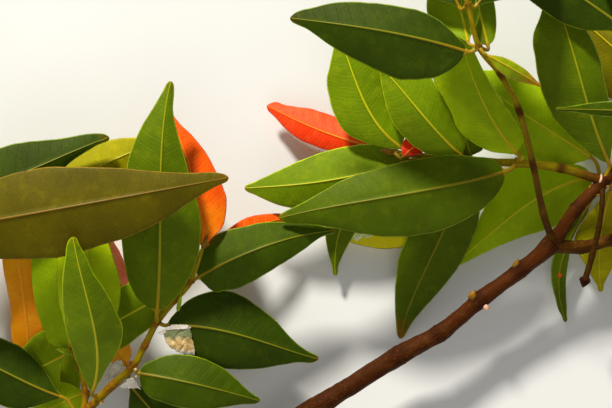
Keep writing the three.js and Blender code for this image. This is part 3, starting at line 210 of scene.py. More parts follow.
        ("B22", "olive",[4.6,97.2,-12.7], [40.7,91.3,-20.1], [1.2,3.2,5.6,7.3,8.0,7.7,6.5,4.5,2.5,1.1], [1.3,3.5,6.1,8.0,8.7,8.4,7.1,4.9,2.7,1.2], [0.0,0.0,0.0],3,12),
        ("B23", "mid",[5.0,-76.1,-23.6], [46.9,-80.2,-22.2], [1.5,4.0,6.9,9.0,9.8,9.4,7.9,5.5,3.1,1.4], [1.5,4.0,6.9,9.0,9.8,9.4,7.9,5.5,3.1,1.4], [0.0,0.0,0.0],7,12),
    ]),
    ("low_tip_leaves", "low_twig", 5.0, [
        ("B24", "dark",[4.0,51.5,14.7], [45.8,15.7,-16.5], [1.4,3.8,6.6,8.7,9.4,9.0,7.7,5.3,2.9,1.3], [1.4,3.8,6.6,8.7,9.4,9.0,7.7,5.3,2.9,1.3], [0.0,0.0,0.0],6,12),
        ("B25", "mid",[4.7,-62.6,-25.2], [40.5,-69.9,-15.5], [1.3,3.5,6.1,8.0,8.7,8.4,7.1,4.9,2.7,1.2], [1.3,3.5,6.1,8.0,8.7,8.4,7.1,4.9,2.7,1.2], [0.0,0.0,0.0],4,12),
    ]),
]

UP = np.array([0.0, 0.0, 1.0])


# ------------------------------------------------------------------ tools
def unit(v):
    return v / np.maximum(np.linalg.norm(v, axis=-1, keepdims=True), 1e-9)


def step(row):
    length, heading, rise = row
    h, r = math.radians(heading), math.radians(rise)
    return length * np.array([math.cos(r) * math.cos(h), math.cos(r) * math.sin(h), math.sin(r)])


def smooth(a, b, x):
    t = np.clip((np.asarray(x, float) - a) / (b - a), 0, 1)
    return t * t * (3 - 2 * t)


def lattice(rng, rows, cols):
    return rng.random((rows, cols)) * 2 - 1


def ripple(grid, x, y):
    """Smooth noise from a lattice, which closes on itself across its columns."""
    rows, cols = grid.shape
    x = np.clip(x, 0, rows - 1.001)
    i, j = np.floor(x).astype(int), np.floor(y).astype(int)
    fx, fy = x - i, y - j
    fx, fy = fx * fx * (3 - 2 * fx), fy * fy * (3 - 2 * fy)
    a, b = grid[i, j % cols], grid[i, (j + 1) % cols]
    c, d = grid[i + 1, j % cols], grid[i + 1, (j + 1) % cols]
    return (a * (1 - fy) + b * fy) * (1 - fx) + (c * (1 - fy) + d * fy) * fx


def along_curve(points, at):
    """Point and direction on the smooth line through the points, at counted in points."""
    P = np.vstack([2 * points[0] - points[1], points, 2 * points[-1] - points[-2]])
    at = np.clip(np.atleast_1d(np.asarray(at, float)), 0, len(points) - 1)
    i = np.minimum(np.floor(at).astype(int), len(points) - 2)
    t = (at - i)[:, None]
    p0, p1, p2, p3 = P[i], P[i + 1], P[i + 2], P[i + 3]
    place = 0.5 * (2 * p1 + (p2 - p0) * t + (2 * p0 - 5 * p1 + 4 * p2 - p3) * t**2 + (3 * p1 - p0 - 3 * p2 + p3) * t**3)
    way = 0.5 * ((p2 - p0) + 2 * (2 * p0 - 5 * p1 + 4 * p2 - p3) * t + 3 * (3 * p1 - p0 - 3 * p2 + p3) * t**2)
    return place, unit(way)


class Body:
    """Gathers rings and patches, in mm, and makes one mesh of them."""

    def __init__(self):
        self.v, self.q, self.t, self.count = [], [], [], 0
        self.quv, self.tuv, self.qm, self.tm, self.a = [], [], [], [], []

    def points(self, P, attr):
        P = np.asarray(P, float).reshape(-1, 3)
        first = self.count
        self.v.append(P)
        self.a.append(np.broadcast_to(np.asarray(attr, float).reshape(-1, 3), P.shape))
        self.count += len(P)
        return first

    def quads(self, faces, uv, mats):
        self.q.append(faces.reshape(-1, 4))
        self.quv.append(uv.reshape(-1, 4, 2))
        self.qm.append(np.broadcast_to(np.asarray(mats), faces.shape[:-1]).reshape(-1))

    def tris(self, faces, uv, mats):
        faces = np.asarray(faces).reshape(-1, 3)
        self.t.append(faces)
        self.tuv.append(np.asarray(uv, float).reshape(-1, 3, 2))
        self.tm.append(np.broadcast_to(np.asarray(mats), (len(faces),)))

    def tube(self, P, attr, mats, uv_at, cap_start=0, cap_end=0):
        """Rings P[row, column] joined into a tube; uv_at(row, column) gives a corner's place on the map."""
        rows, cols = P.shape[:2]
        first = self.points(P, attr)
        i, j = np.meshgrid(np.arange(rows - 1), np.arange(cols), indexing="ij")
        k = (j + 1) % cols
        faces = first + np.stack([i * cols + j, i * cols + k, (i + 1) * cols + k, (i + 1) * cols + j], -1)
        uv = np.stack([uv_at(i, j, i), uv_at(i, j + 1, i), uv_at(i + 1, j + 1, i), uv_at(i + 1, j, i)], -2)
        self.quads(faces, uv, np.broadcast_to(mats, (rows - 1, cols)))
        for at, row, turn in ((cap_start, 0, True), (cap_end, rows - 1, False)):
            if at is None:
                continue
            centre = self.points(P[row].mean(0)[None], np.asarray(attr).reshape(rows, cols, 3)[row].mean(0) if np.ndim(attr) == 3 else attr)
            a = first + row * cols + np.arange(cols)
            b = first + row * cols + (np.arange(cols) + 1) % cols
            c = np.full(cols, centre)
            f = np.stack([b, a, c] if turn else [a, b, c], -1)
            spot = uv_at(np.full((cols, 3), row), np.stack([np.arange(cols)] * 3, -1), np.full((cols, 3), max(0, min(row, rows - 2))))
            self.tris(f, spot, at)

    def make(self, name, materials, record_slot, *nodes):
        V = np.concatenate(self.v) + SHIFT
        Q = np.concatenate(self.q) if self.q else np.zeros((0, 4), int)
        T = np.concatenate(self.t) if self.t else np.zeros((0, 3), int)
        me = bpy.data.meshes.new(name)
        me.vertices.add(len(V))
        me.vertices.foreach_set("co", (V * 0.001).ravel())
        me.loops.add(Q.size + T.size)
        me.loops.foreach_set("vertex_index", np.concatenate([Q.ravel(), T.ravel()]).astype(np.int32))
        me.polygons.add(len(Q) + len(T))
        me.polygons.foreach_set("loop_start", np.concatenate([np.arange(len(Q)) * 4, Q.size + np.arange(len(T)) * 3]).astype(np.int32))
        used = np.concatenate(self.qm + self.tm).astype(int)
        kinds = sorted(set(used.tolist()))
        me.polygons.foreach_set("material_index", np.searchsorted(kinds, used).astype(np.int32))
        me.polygons.foreach_set("use_smooth", np.ones(len(Q) + len(T), bool))
        me.update(calc_edges=True)
        uv = me.uv_layers.new(name="OFBake")
        corners = np.concatenate([x.reshape(-1, 2) for x in self.quv] + [x.reshape(-1, 2) for x in self.tuv])
        uv.data.foreach_set("uv", corners.ravel())
        at = me.attributes.new("place", "FLOAT_VECTOR", "POINT")
        at.data.foreach_set("vector", np.concatenate(self.a).ravel())
        for k in kinds:
            me.materials.append(materials[k])
        me.validate()
        ob = bpy.data.objects.new(name, me)
        bpy.context.scene.collection.objects.link(ob)
        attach(ob, "root")
        if nodes:
            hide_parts(*nodes)
        return ob


def folded(rows, cols, strips, spare=1):
    """Map places for a long tube, its length cut into strips side by side."""
    each = math.ceil((rows - 1) / strips)
    def at(i, j, face):
        strip = np.asarray(face) // each
        u = (strip + 0.02 + 0.96 * np.asarray(j) / cols) / (strips + spare)
        v = 0.003 + 0.994 * (np.asarray(i) - strip * each) / each
        return np.stack([u, v], -1)
    return at


# ------------------------------------------------------------------ materials
def srgb(r, g, b):
    return tuple((c / 255 / 12.92) if c <= 10 else ((c / 255 + 0.055) / 1.055) ** 2.4 for c in (r, g, b)) + (1.0,)


class Paint:
    def __init__(self, name):
        self.mat = bpy.data.materials.new(name)
        self.mat.use_nodes = True
        self.nt = self.mat.node_tree
        self.nt.nodes.clear()
        self.out = self.nt.nodes.new("ShaderNodeOutputMaterial")
        self.bsdf = self.nt.nodes.new("ShaderNodeBsdfPrincipled")
        self.nt.links.new(self.bsdf.outputs[0], self.out.inputs["Surface"])

    def put(self, socket, value):
        if isinstance(value, bpy.types.NodeSocket):
            self.nt.links.new(value, socket)
        else:
            socket.default_value = value

    def node(self, kind, inputs=(), **settings):
        n = self.nt.nodes.new(kind)
        for k, v in settings.items():
            setattr(n, k, v)
        for k, v in dict(inputs).items():
            self.put(n.inputs[k], v)
        return n

    def math(self, op, *values, clamp=False):
        return self.node("ShaderNodeMath", enumerate(values), operation=op, use_clamp=clamp).outputs[0]

    def band(self, x, a, b, lo=0.0, hi=1.0):
        return self.node("ShaderNodeMapRange", {0: x, 1: a, 2: b, 3: lo, 4: hi}, interpolation_type="SMOOTHSTEP").outputs[0]

    def blend(self, share, a, b, kind="MIX"):
        n = self.nt.nodes.new("ShaderNodeMix")
        n.data_type, n.blend_type, n.clamp_factor = "RGBA", kind, True
        self.put(n.inputs[0], share)
        self.put(n.inputs[6], a)
        self.put(n.inputs[7], b)
        return n.outputs[2]

    def noise(self, vector, scale, detail=3.0, rough=0.55, lean=0.0):
        return self.node("ShaderNodeTexNoise", {"Vector": vector, "Scale": scale, "Detail": detail, "Roughness": rough, "Distortion": lean}).outputs["Fac"]

    def cells(self, vector, scale, feature="F1"):
        n = self.nt.nodes.new("ShaderNodeTexVoronoi")
        n.feature = feature
        self.put(n.inputs["Vector"], vector)
        self.put(n.inputs["Scale"], scale)
        return n.outputs["Distance"]

    def spot(self):
        return self.node("ShaderNodeTexCoord").outputs["Object"]

    def place(self):
        at = self.node("ShaderNodeAttribute", attribute_name="place").outputs["Vector"]
        return self.node("ShaderNodeSeparateXYZ", {0: at}).outputs

    def join(self, x, y, z=0.0):
        return self.node("ShaderNodeCombineXYZ", {0: x, 1: y, 2: z}).outputs[0]

    def bump(self, height, strength, distance, normal=None):
        n = self.node("ShaderNodeBump", {"Height": height, "Strength": strength, "Distance": distance})
        if normal is not None:
            self.nt.links.new(normal, n.inputs["Normal"])
        return n.outputs[0]

    def finish(self, colour, rough, normal=None, **fixed):
        self.put(self.bsdf.inputs["Base Color"], colour)
        self.put(self.bsdf.inputs["Roughness"], rough)
        if normal is not None:
            self.put(self.bsdf.inputs["Normal"], normal)
        for name, value in fixed.items():
            self.bsdf.inputs[name.replace("_", " ")].default_value = value
        return self.mat


def blade_paint(name, main, shade, vein, gloss=0.34, streak=0.16, foot=None, end=None, level=0.12, net=0.10, burn=(0.955, 1.02, 0.3)):
    """A leaf's face. place holds mm along the midrib, mm across it, and the share of the length."""
    p = Paint(name)
    x, y, u = p.place()
    where = p.spot()
    cloud = p.noise(where, 60.0, 3.0, 0.6)
    patch = p.noise(where, 190.0, 3.0, 0.6)
    fine = p.noise(where, 900.0, 3.0, 0.6)
    off = p.math("ABSOLUTE", y)
    lean = p.math("MULTIPLY_ADD", off, 0.36, p.math("MULTIPLY", p.math("MULTIPLY", off, off), 0.020))
    wander = p.math("MULTIPLY", p.noise(where, 150.0, 1.0, 0.5), 1.3)
    phase = p.math("DIVIDE", p.math("ADD", p.math("SUBTRACT", x, lean), wander), VEIN_GAP)
    crest = p.math("ABSOLUTE", p.math("SUBTRACT", p.math("FRACT", phase), 0.5))
    fine_vein = p.band(crest, 0.36, 0.5)
    third = p.math("ABSOLUTE", p.math("SUBTRACT", p.math("FRACT", p.math("DIVIDE", phase, 3.0)), 0.5))
    main_vein = p.band(third, 0.45, 0.5)
    mesh = p.band(p.cells(where, 1500.0, "DISTANCE_TO_EDGE"), 0.02, 0.16, 1.0, 0.0)
    dots = p.band(p.cells(where, 330.0), 0.10, 0.05)
    base = main
    if foot is not None:
        base = p.blend(p.band(p.math("ADD", u, p.math("MULTIPLY", cloud, 0.30)), 0.12, 0.62), foot, base)
    if end is not None:
        base = p.blend(p.band(p.math("ADD", u, p.math("MULTIPLY", cloud, 0.30)), 0.68, 1.10), base, end)
    else:
        base = p.blend(p.band(p.math("ADD", u, p.math("MULTIPLY", patch, 0.03)), burn[0], burn[1], 0.0, burn[2]), base, srgb(164, 92, 6))
    base = p.blend(p.band(cloud, 0.34, 0.70), base, p.blend(0.62, base, shade))
    base = p.blend(p.band(patch, 0.50, 0.74, 0.0, 0.40), base, vein)
    base = p.blend(p.math("MULTIPLY", fine_vein, streak), base, vein)
    base = p.blend(p.math("MULTIPLY", main_vein, streak * 1.5), base, vein)
    base = p.blend(p.math("MULTIPLY", mesh, net), base, vein)
    base = p.blend(p.math("MULTIPLY", dots, 0.35), base, shade)
    base = p.blend(p.band(fine, 0.40, 0.75, 0.0, 0.22), base, shade)
    rough = p.math("ADD", p.math("MULTIPLY", fine, 0.18), p.math("MULTIPLY_ADD", patch, 0.16, gloss))
    height = p.math("ADD", p.math("MULTIPLY", fine_vein, 0.35), p.math("MULTIPLY", main_vein, 0.8))
    height = p.math("ADD", height, p.math("MULTIPLY", mesh, 0.30))
    height = p.math("ADD", height, p.math("MULTIPLY", fine, 0.45))
    return p.finish(base, rough, p.bump(height, 0.5, 0.00012), Specular_IOR_Level=level, Specular_Tint=(1.0, 0.96, 0.5, 1.0))


def rib_paint(name, pale, dark):
    p = Paint(name)
    x, y, u = p.place()
    where = p.spot()
    cloud = p.noise(where, 150.0, 3.0, 0.6)
    grain = p.noise(p.join(p.math("MULTIPLY", x, 0.6), p.math("MULTIPLY", y, 6.0), cloud), 1.0, 3.0, 0.6)
    tint = p.blend(p.band(p.math("ADD", u, p.math("MULTIPLY", cloud, 0.35)), 0.05, 0.55), dark, pale)
    tint = p.blend(p.band(grain, 0.4, 0.75, 0.0, 0.5), tint, dark)
    rough = p.math("MULTIPLY_ADD", grain, 0.2, 0.3)
    return p.finish(tint, rough, p.bump(grain, 0.35, 0.0001), Specular_IOR_Level=0.18)


# the pale rim along a leaf's margin: painted glow of light shining through the thin edge
def glow_rim_paint(name, pale, dark):
    p = Paint(name)
    cloud = p.noise(p.spot(), 240.0, 3.0, 0.6)
    return p.finish(p.blend(p.band(cloud, 0.3, 0.7), pale, dark), p.math("MULTIPLY_ADD", cloud, 0.2, 0.3),
                    p.bump(cloud, 0.2, 0.0001), Specular_IOR_Level=0.18)


def bark_paint(name, old, streak, pale, young, young_pale, rough_base=0.62):
    """place holds mm along the limb, mm round it, and its age from 1 at the foot to 0 at the tip."""
    p = Paint(name)
    x, y, age = p.place()
    where = p.spot()
    long_grain = p.noise(p.join(p.math("MULTIPLY", x, 0.22), p.math("MULTIPLY", y, 1.5), 0.0), 1.0, 5.0, 0.65, 0.35)
    fine = p.noise(where, 1100.0, 4.0, 0.65)
    cloud = p.noise(where, 110.0, 3.0, 0.6)
    lent = p.band(p.cells(p.join(p.math("MULTIPLY", x, 0.42), p.math("MULTIPLY", y, 0.8), 3.7), 1.0), 0.24, 0.15)
    a = p.blend(p.band(long_grain, 0.36, 0.66), old, streak)
    a = p.blend(p.band(cloud, 0.45, 0.8, 0.0, 0.6), a, pale)
    b = p.blend(p.band(long_grain, 0.4, 0.7), young, young_pale)
    t = p.band(p.math("ADD", age, p.math("MULTIPLY", p.math("SUBTRACT", cloud, 0.5), 0.5)), 0.15, 0.75)
    tint = p.blend(t, b, a)
    tint = p.blend(p.math("MULTIPLY", lent, p.band(age, 0.1, 0.6, 0.15, 0.55)), tint, pale)
    tint = p.blend(p.band(fine, 0.45, 0.8, 0.0, 0.35), tint, streak)
    height = p.math("ADD", p.math("MULTIPLY", long_grain, 1.0), p.math("MULTIPLY", fine, 0.45))
    height = p.math("ADD", height, p.math("MULTIPLY", lent, 0.6))
    rough = p.math("MULTIPLY_ADD", long_grain, 0.25, p.math("MULTIPLY_ADD", age, 0.2, rough_base - 0.25))
    return p.finish(tint, rough, p.bump(height, 0.6, 0.0003), Specular_IOR_Level=0.10, Specular_Tint=(1.0, 0.86, 0.6, 1.0))


def wood_paint(name):
    """A fresh cut: pith, rings and a darker rim. place holds mm out from the middle."""
    p = Paint(name)
    x, y, age = p.place()
    where = p.spot()
    rings = p.math("ABSOLUTE", p.math("SUBTRACT", p.math("FRACT", p.math("ADD", p.math("MULTIPLY", x, 0.85), p.noise(where, 400.0, 2.0))), 0.5))
    fibre = p.noise(where, 2600.0, 3.0, 0.7)
    tint = p.blend(p.band(rings, 0.0, 0.5), srgb(214, 184, 122), srgb(176, 134, 78))
    tint = p.blend(p.band(x, 0.9, 0.3), tint, srgb(120, 78, 40))
    tint = p.blend(p.band(x, 3.5, 4.1), tint, srgb(110, 120, 50))
    tint = p.blend(p.band(fibre, 0.4, 0.75, 0.0, 0.5), tint, srgb(150, 110, 66))
    return p.finish(tint, p.math("MULTIPLY_ADD", fibre, 0.2, 0.6), p.bump(fibre, 0.5, 0.0002), Specular_IOR_Level=0.18)


def skin_paint(name, pale=(255, 253, 246), dull=(252, 236, 206)):
    """Thin dead leaf skin: whitish, or cream to green-grey up a scrap whose share runs from 0 to 1."""
    p = Paint(name)
    x, y, u = p.place()
    where = p.spot()
    cloud = p.noise(where, 380.0, 4.0, 0.65, 0.6)
    lines = p.noise(p.join(p.math("MULTIPLY", x, 0.5), p.math("MULTIPLY", y, 2.6), cloud), 1.0, 4.0, 0.7, 0.8)
    tint = p.blend(p.band(cloud, 0.3, 0.7), srgb(*pale), srgb(*dull))
    tint = p.blend(p.band(u, 0.02, 0.30), tint, p.blend(p.band(cloud, 0.35, 0.65), srgb(250, 224, 160), srgb(196, 144, 60)))
    tint = p.blend(p.band(p.math("ADD", u, p.math("MULTIPLY", p.math("SUBTRACT", cloud, 0.5), 0.5)), 0.52, 0.74), tint, srgb(140, 150, 98))
    tint = p.blend(p.band(lines, 0.56, 0.68, 0.0, 0.8), tint, srgb(178, 140, 68))
    return p.finish(tint, p.math("MULTIPLY_ADD", lines, 0.3, 0.22), p.bump(lines, 0.8, 0.0003), Specular_IOR_Level=0.6)


def plain_paint(name, a, b, scale, rough, bump=0.4, level=0.18):
    p = Paint(name)
    cloud = p.noise(p.spot(), scale, 4.0, 0.6)
    return p.finish(p.blend(p.band(cloud, 0.3, 0.7), a, b), p.math("MULTIPLY_ADD", cloud, 0.2, rough),
                    p.bump(cloud, bump, 0.0003), Specular_IOR_Level=level)


# leaf faces by tone: main colour, its shade and its vein colour
# Besides the leaves' own differences in colour, the tones carry painted light and shade: a leaf that light shone
# through gets a lighter tone, a leaf lying in shade a darker one, and lime, glow and gold lift leaves that lie in the
# scene's own shadows.
TONES = {
    "deep": ((46, 66, 1), (31, 48, 1), (72, 86, 4)),
    "dark": ((62, 84, 1), (43, 62, 1), (90, 104, 5)),
    "moss": ((76, 97, 2), (55, 72, 1), (106, 118, 6)),
    "mid": ((90, 113, 2), (64, 85, 1), (122, 134, 8)),
    "worn": ((76, 97, 2), (55, 72, 1), (106, 118, 6)),
    "fresh": ((109, 135, 3), (79, 103, 2), (146, 158, 10)),
    "bright": ((131, 158, 3), (97, 123, 2), (170, 180, 12)),
    "lime": ((154, 184, 4), (117, 146, 2), (190, 202, 16)),
    "glow": ((204, 232, 6), (166, 196, 4), (224, 236, 24)),
    "umber": ((88, 78, 1), (64, 56, 1), (114, 102, 5)),
    "olive": ((110, 103, 2), (80, 76, 1), (138, 128, 8)),
    "straw": ((138, 130, 3), (104, 98, 2), (166, 156, 12)),
    "yellow": ((166, 158, 4), (126, 120, 2), (194, 184, 18)),
    "gold": ((240, 226, 16), (206, 192, 10), (244, 232, 60)),
}
# Young leaves keep their own reds and oranges, but several are pushed to full brightness as painted light, so that
# leaves lying in shade still glow as if lit through from behind.
FLUSH = {  # and at the foot and the end of a young leaf
    "red": ((252, 88, 4), (206, 54, 1), (255, 124, 16), (238, 142, 4), (252, 92, 6)),
    "amber": ((255, 166, 8), (242, 128, 3), (255, 194, 44), (250, 190, 8), (255, 130, 12)),
    "orange": ((246, 124, 6), (196, 84, 3), (255, 160, 40), (214, 146, 8), (250, 98, 10)),
    "pink": ((255, 140, 108), (236, 96, 66), (255, 190, 168), (246, 160, 70), (255, 150, 130)),
    "flame": ((255, 60, 14), (226, 36, 5), (255, 108, 48), (238, 84, 4), (255, 84, 34)),
    "scarlet": ((255, 24, 2), (222, 12, 1), (255, 70, 22), (252, 52, 6), (255, 30, 6)),
    "turning": ((146, 166, 4), (112, 132, 2), (172, 180, 12), (156, 176, 4), (222, 92, 6)),
}
paints = []
TOP, UNDER = {}, {}
for tone, (a, b, c) in TONES.items():
    TOP[tone] = len(paints)
    paints.append(blade_paint(f"leaf_{tone}", srgb(*a), srgb(*b), srgb(*c), streak=0.09 if sum(a) < 180 else 0.14,
                              burn=(0.86, 0.99, 0.9) if tone == "worn" else (0.955, 1.02, 0.3)))
    UNDER[tone] = len(paints)
    pale = [0.8 * q + 0.2 * w for q, w in zip(a, (150, 160, 70))]
    paints.append(blade_paint(f"leaf_{tone}_back", srgb(*pale), srgb(*a), srgb(*c), gloss=0.48, streak=0.35))
for tone, (a, b, c, d, e) in FLUSH.items():
    TOP[tone] = len(paints)
    paints.append(blade_paint(f"young_{tone}", srgb(*a), srgb(*b), srgb(*c), gloss=0.30, streak=0.22, foot=srgb(*d), end=srgb(*e), level=0.2))
    UNDER[tone] = len(paints)
    pale = [0.82 * q + 0.18 * w for q, w in zip(a, (220, 150, 90))]
    paints.append(blade_paint(f"young_{tone}_back", srgb(*pale), srgb(*a), srgb(*c), gloss=0.44, streak=0.3, foot=srgb(*d)))


def keep(mat):
    paints.append(mat)
    return len(paints) - 1


RIB, RIM = {}, {}
# midrib and rim paints by tone; the rims' pale colours are painted glow
for tones, rib, rib_foot, rim, rim_dark in (
        (("deep", "dark", "moss", "worn"), (118, 122, 6), (148, 112, 6), (138, 158, 6), (96, 116, 4)),
        (("mid",), (152, 157, 10), (172, 134, 8), (168, 188, 8), (118, 140, 5)),
        (("fresh", "bright", "lime", "glow"), (192, 194, 16), (200, 160, 12), (200, 214, 20), (150, 172, 8)),
        (("umber",), (124, 96, 5), (132, 84, 6), (150, 118, 8), (108, 86, 4)),
        (("olive", "straw", "yellow", "gold", "turning"), (196, 178, 18), (196, 148, 14), (198, 186, 20), (150, 138, 8)),
        (("red", "flame", "scarlet"), (255, 132, 16), (232, 120, 10), (255, 118, 84), (240, 74, 36)),
        (("amber", "orange", "pink"), (255, 176, 40), (226, 140, 14), (255, 168, 116), (244, 120, 50))):
    rib_mat = keep(rib_paint("midrib_" + tones[0], srgb(*rib), srgb(*rib_foot)))
    glow_rim_mat = keep(glow_rim_paint("rim_" + tones[0], srgb(*rim), srgb(*rim_dark)))
    for tone in tones:
        RIB[tone], RIM[tone] = rib_mat, glow_rim_mat
STALK = keep(rib_paint("leaf_stalk", srgb(172, 158, 8), srgb(154, 122, 6)))
BARK = keep(bark_paint("bark", srgb(68, 27, 3), srgb(38, 14, 1), srgb(112, 62, 16), srgb(80, 34, 2), srgb(106, 54, 5)))
TWIG = keep(bark_paint("twig_bark", srgb(146, 96, 6), srgb(98, 60, 4), srgb(196, 150, 30), srgb(138, 126, 3), srgb(178, 164, 8), 0.5))
BROWN = keep(bark_paint("brown_twig_bark", srgb(84, 48, 3), srgb(52, 26, 1), srgb(128, 88, 12), srgb(136, 116, 4), srgb(168, 148, 10), 0.55))
DRY = keep(plain_paint("dry_stalk", srgb(70, 44, 2), srgb(42, 22, 1), 900.0, 0.6, level=0.06))
HUSK = keep(plain_paint("dry_cup", srgb(64, 28, 3), srgb(34, 13, 1), 900.0, 0.6, level=0.06))
CUT = keep(wood_paint("cut_wood"))
BUD = keep(plain_paint("bud", srgb(160, 112, 10), srgb(110, 74, 6), 800.0, 0.4))
SKIN = keep(skin_paint("dry_skin"))
GREEN_SKIN = keep(skin_paint("green_dry_skin", (248, 255, 206), (206, 218, 110)))
gall_paint = keep(plain_paint("gall", srgb(226, 92, 8), srgb(190, 60, 4), 700.0, 0.4))
# pale pink callus; on the ring by the fork its paleness is also a painted highlight
CALLUS = keep(plain_paint("callus", srgb(232, 190, 160), srgb(206, 140, 96), 500.0, 0.45))
# dried sap: glossy and near-white, the white partly the sap's own colour and partly a painted glint
SAP = keep(plain_paint("dried_sap", srgb(240, 226, 176), srgb(206, 170, 90), 700.0, 0.12, 0.1))


# ------------------------------------------------------------------ limbs
FORK = 9.9     # where the low and the front twig leave the stem, in nodes
limbs = {}
for name, start, r0, r1, internodes in LIMBS:
    girth = None
    if isinstance(start[0], str):
        other = limbs[start[0]]
        first = along_curve(other["points"], start[1])[0][0]
        girth = float(other["r0"] + (other["r1"] - other["r0"]) * start[1] / other["count"])
    else:
        first = np.array(start, float)
    pts = [first]
    for row in internodes:
        pts.append(pts[-1] + step(row))
    limbs[name] = {"points": np.array(pts), "r0": r0, "r1": r1, "count": len(internodes), "on": girth}


def radius(limb, at):
    n = limb["count"]
    near = np.round(at)
    off = np.abs(at - near) / NODE_REACH
    swell = np.where((near > 0) & (near < n), NODE_SWELL * np.maximum(0, 1 - off**2), 0)
    return (limb["r0"] + (limb["r1"] - limb["r0"]) * at / n) * (1 + swell)


def carried(T):
    """A side direction for each station, turned as little as possible along the line."""
    side = np.empty_like(T)
    s = unit(np.cross(UP, T[0]))
    for i, t in enumerate(T):
        s = unit(s - t * (s @ t))
        side[i] = s
    return side, np.cross(T, side)


def limb_body(name, seed, paint, segs, gap, relief, square=False, tip=True, age=(1.0, 0.0), strips=4):
    limb = limbs[name]
    rng = np.random.default_rng(seed)
    n = limb["count"]
    dense = np.linspace(0, n, 60 * n + 1)
    P, _ = along_curve(limb["points"], dense)
    run = np.concatenate([[0], np.cumsum(np.linalg.norm(np.diff(P, axis=0), axis=1))])
    rows = max(24, int(run[-1] / gap))
    s = np.linspace(0, run[-1], rows)
    at = np.interp(s, run, dense)
    P, T = along_curve(limb["points"], at)
    if square:
        T[0] = [1, 0, 0]
    side, up = carried(T)
    r = radius(limb, at)
    if limb["on"]:     # it widens into the limb it grows from
        r = r * (1 + np.clip(0.9 * limb["on"] / limb["r0"] - 1, 0, 0.55) * np.exp(-np.maximum(0, s - 0.8 * limb["on"]) / 1.9))
    else:              # the fork is the thickest place near it
        r = r * (1 + 0.26 * np.exp(-(((at - FORK) / 0.42) ** 2)))
    a = 2 * math.pi * np.arange(segs) / segs
    # ridges and furrows that run with the grain, knots of cork, and collars at the nodes
    girth = 2 * math.pi * r.mean()
    grain = lattice(rng, int(run[-1] / 5.5) + 3, max(5, int(girth / 1.5)))
    knots = lattice(rng, int(run[-1] / 1.7) + 3, max(6, int(girth / 1.7)))
    broad = lattice(rng, int(run[-1] / 14) + 3, 4)
    S, A = np.meshgrid(s, a / (2 * math.pi), indexing="ij")
    ridge = ripple(grain, S / 5.5, A * grain.shape[1])
    knot = ripple(knots, S / 1.7, A * knots.shape[1])
    wide = ripple(broad, S / 14, A * 4)
    push = relief * (0.55 * ridge - 0.5 * np.abs(ridge) ** 0.5 * 0.3 + 0.45 * np.maximum(knot, 0.1)) + 0.035 * r[:, None] * wide
    for k in range(1, n + (0 if tip else 1)):
        reach = np.interp(k, dense, run)
        off = S - reach + 0.35 * np.sin(4 * math.pi * A + k)
        push += 0.16 * min(1.0, r.mean() / 2) * np.exp(-((off / 0.42) ** 2)) - 0.07 * np.exp(-(((off - 1.1) / 0.5) ** 2))
    R = r[:, None] + push
    if square:
        fade = smooth(0, 1.2, s)[:, None]
        R = R * fade + (r[:, None] * 0.985) * (1 - fade)
    if tip:   # a limb's end narrows into its last bud
        left = (run[-1] - s)[:, None]
        R = R * np.clip(np.sqrt(np.clip(left / (1.5 * limb["r1"]), 0, 1)), 0.18, 1)
    ring = P[:, None] + R[..., None] * (np.cos(a)[None, :, None] * side[:, None] + np.sin(a)[None, :, None] * up[:, None])
    share = age[0] + (age[1] - age[0]) * s / run[-1]
    for k in range(1, n):
        share = share + 0.55 * np.exp(-(((s - np.interp(k, dense, run)) / 2.2) ** 2))
    share = np.clip(share, 0, 1)
    attr = np.stack([S, A * girth, np.broadcast_to(share[:, None], S.shape)], -1)
    body = Body()
    body.tube(ring, attr, paint, folded(rows, segs, strips), cap_start=None if square else paint, cap_end=paint)
    if square:
        first, centre = ring[0], P[0]
        rings = np.array([centre + (first - centre) * f for f in (0.2, 0.4, 0.6, 0.8, 0.97, 1.0)])
        d = np.linalg.norm(rings - centre, axis=-1)
        wide, share = 0.8 / (strips + 1), np.array([0.2, 0.4, 0.6, 0.8, 0.97, 1.0]) / 2
        def disc(i, j, face):
            turn = 2 * math.pi * np.asarray(j) / segs
            f = share[np.asarray(i)]
            return np.stack([(strips + 0.5) / (strips + 1) + wide * f * np.cos(turn), 0.9 + wide * f * np.sin(turn)], -1)
        body.tube(rings, np.stack([d, d * 0, d * 0], -1), CUT, disc, cap_start=CUT, cap_end=None)
    return body


TWIGS = {  # paint, relief, ages at foot and tip
    "left_twig": (TWIG, 0.14, (1.0, 0.0)),
    "outer_twig": (BROWN, 0.12, (0.9, 0.1)),
    "inner_twig": (TWIG, 0.07, (0.6, 0.1)),
    "back_twig": (BROWN, 0.07, (0.6, 0.0)),
    "right_twig": (BROWN, 0.09, (1.0, -3.0)),
    "front_twig": (BROWN, 0.10, (0.85, -0.2)),
    "corner_twig": (BROWN, 0.10, (0.9, 0.1)),
    "low_twig": (BROWN, 0.12, (1.0, 0.5)),
}


# ------------------------------------------------------------------ leaves
def through(x, X, Y):
    """A smooth line through the points of a table."""
    X, Y = np.asarray(X, float), np.asarray(Y, float)
    m = np.gradient(Y, X)
    i = np.clip(np.searchsorted(X, x, side="right") - 1, 0, len(X) - 2)
    h = X[i + 1] - X[i]
    t = (x - X[i]) / h
    return ((2 * t**3 - 3 * t**2 + 1) * Y[i] + (t**3 - 2 * t**2 + t) * h * m[i]
            + (3 * t**2 - 2 * t**3) * Y[i + 1] + (t**3 - t**2) * h * m[i + 1])


SPREAD = np.array([0.10, 0.24, 0.39, 0.54, 0.69, 0.84, 1.0])


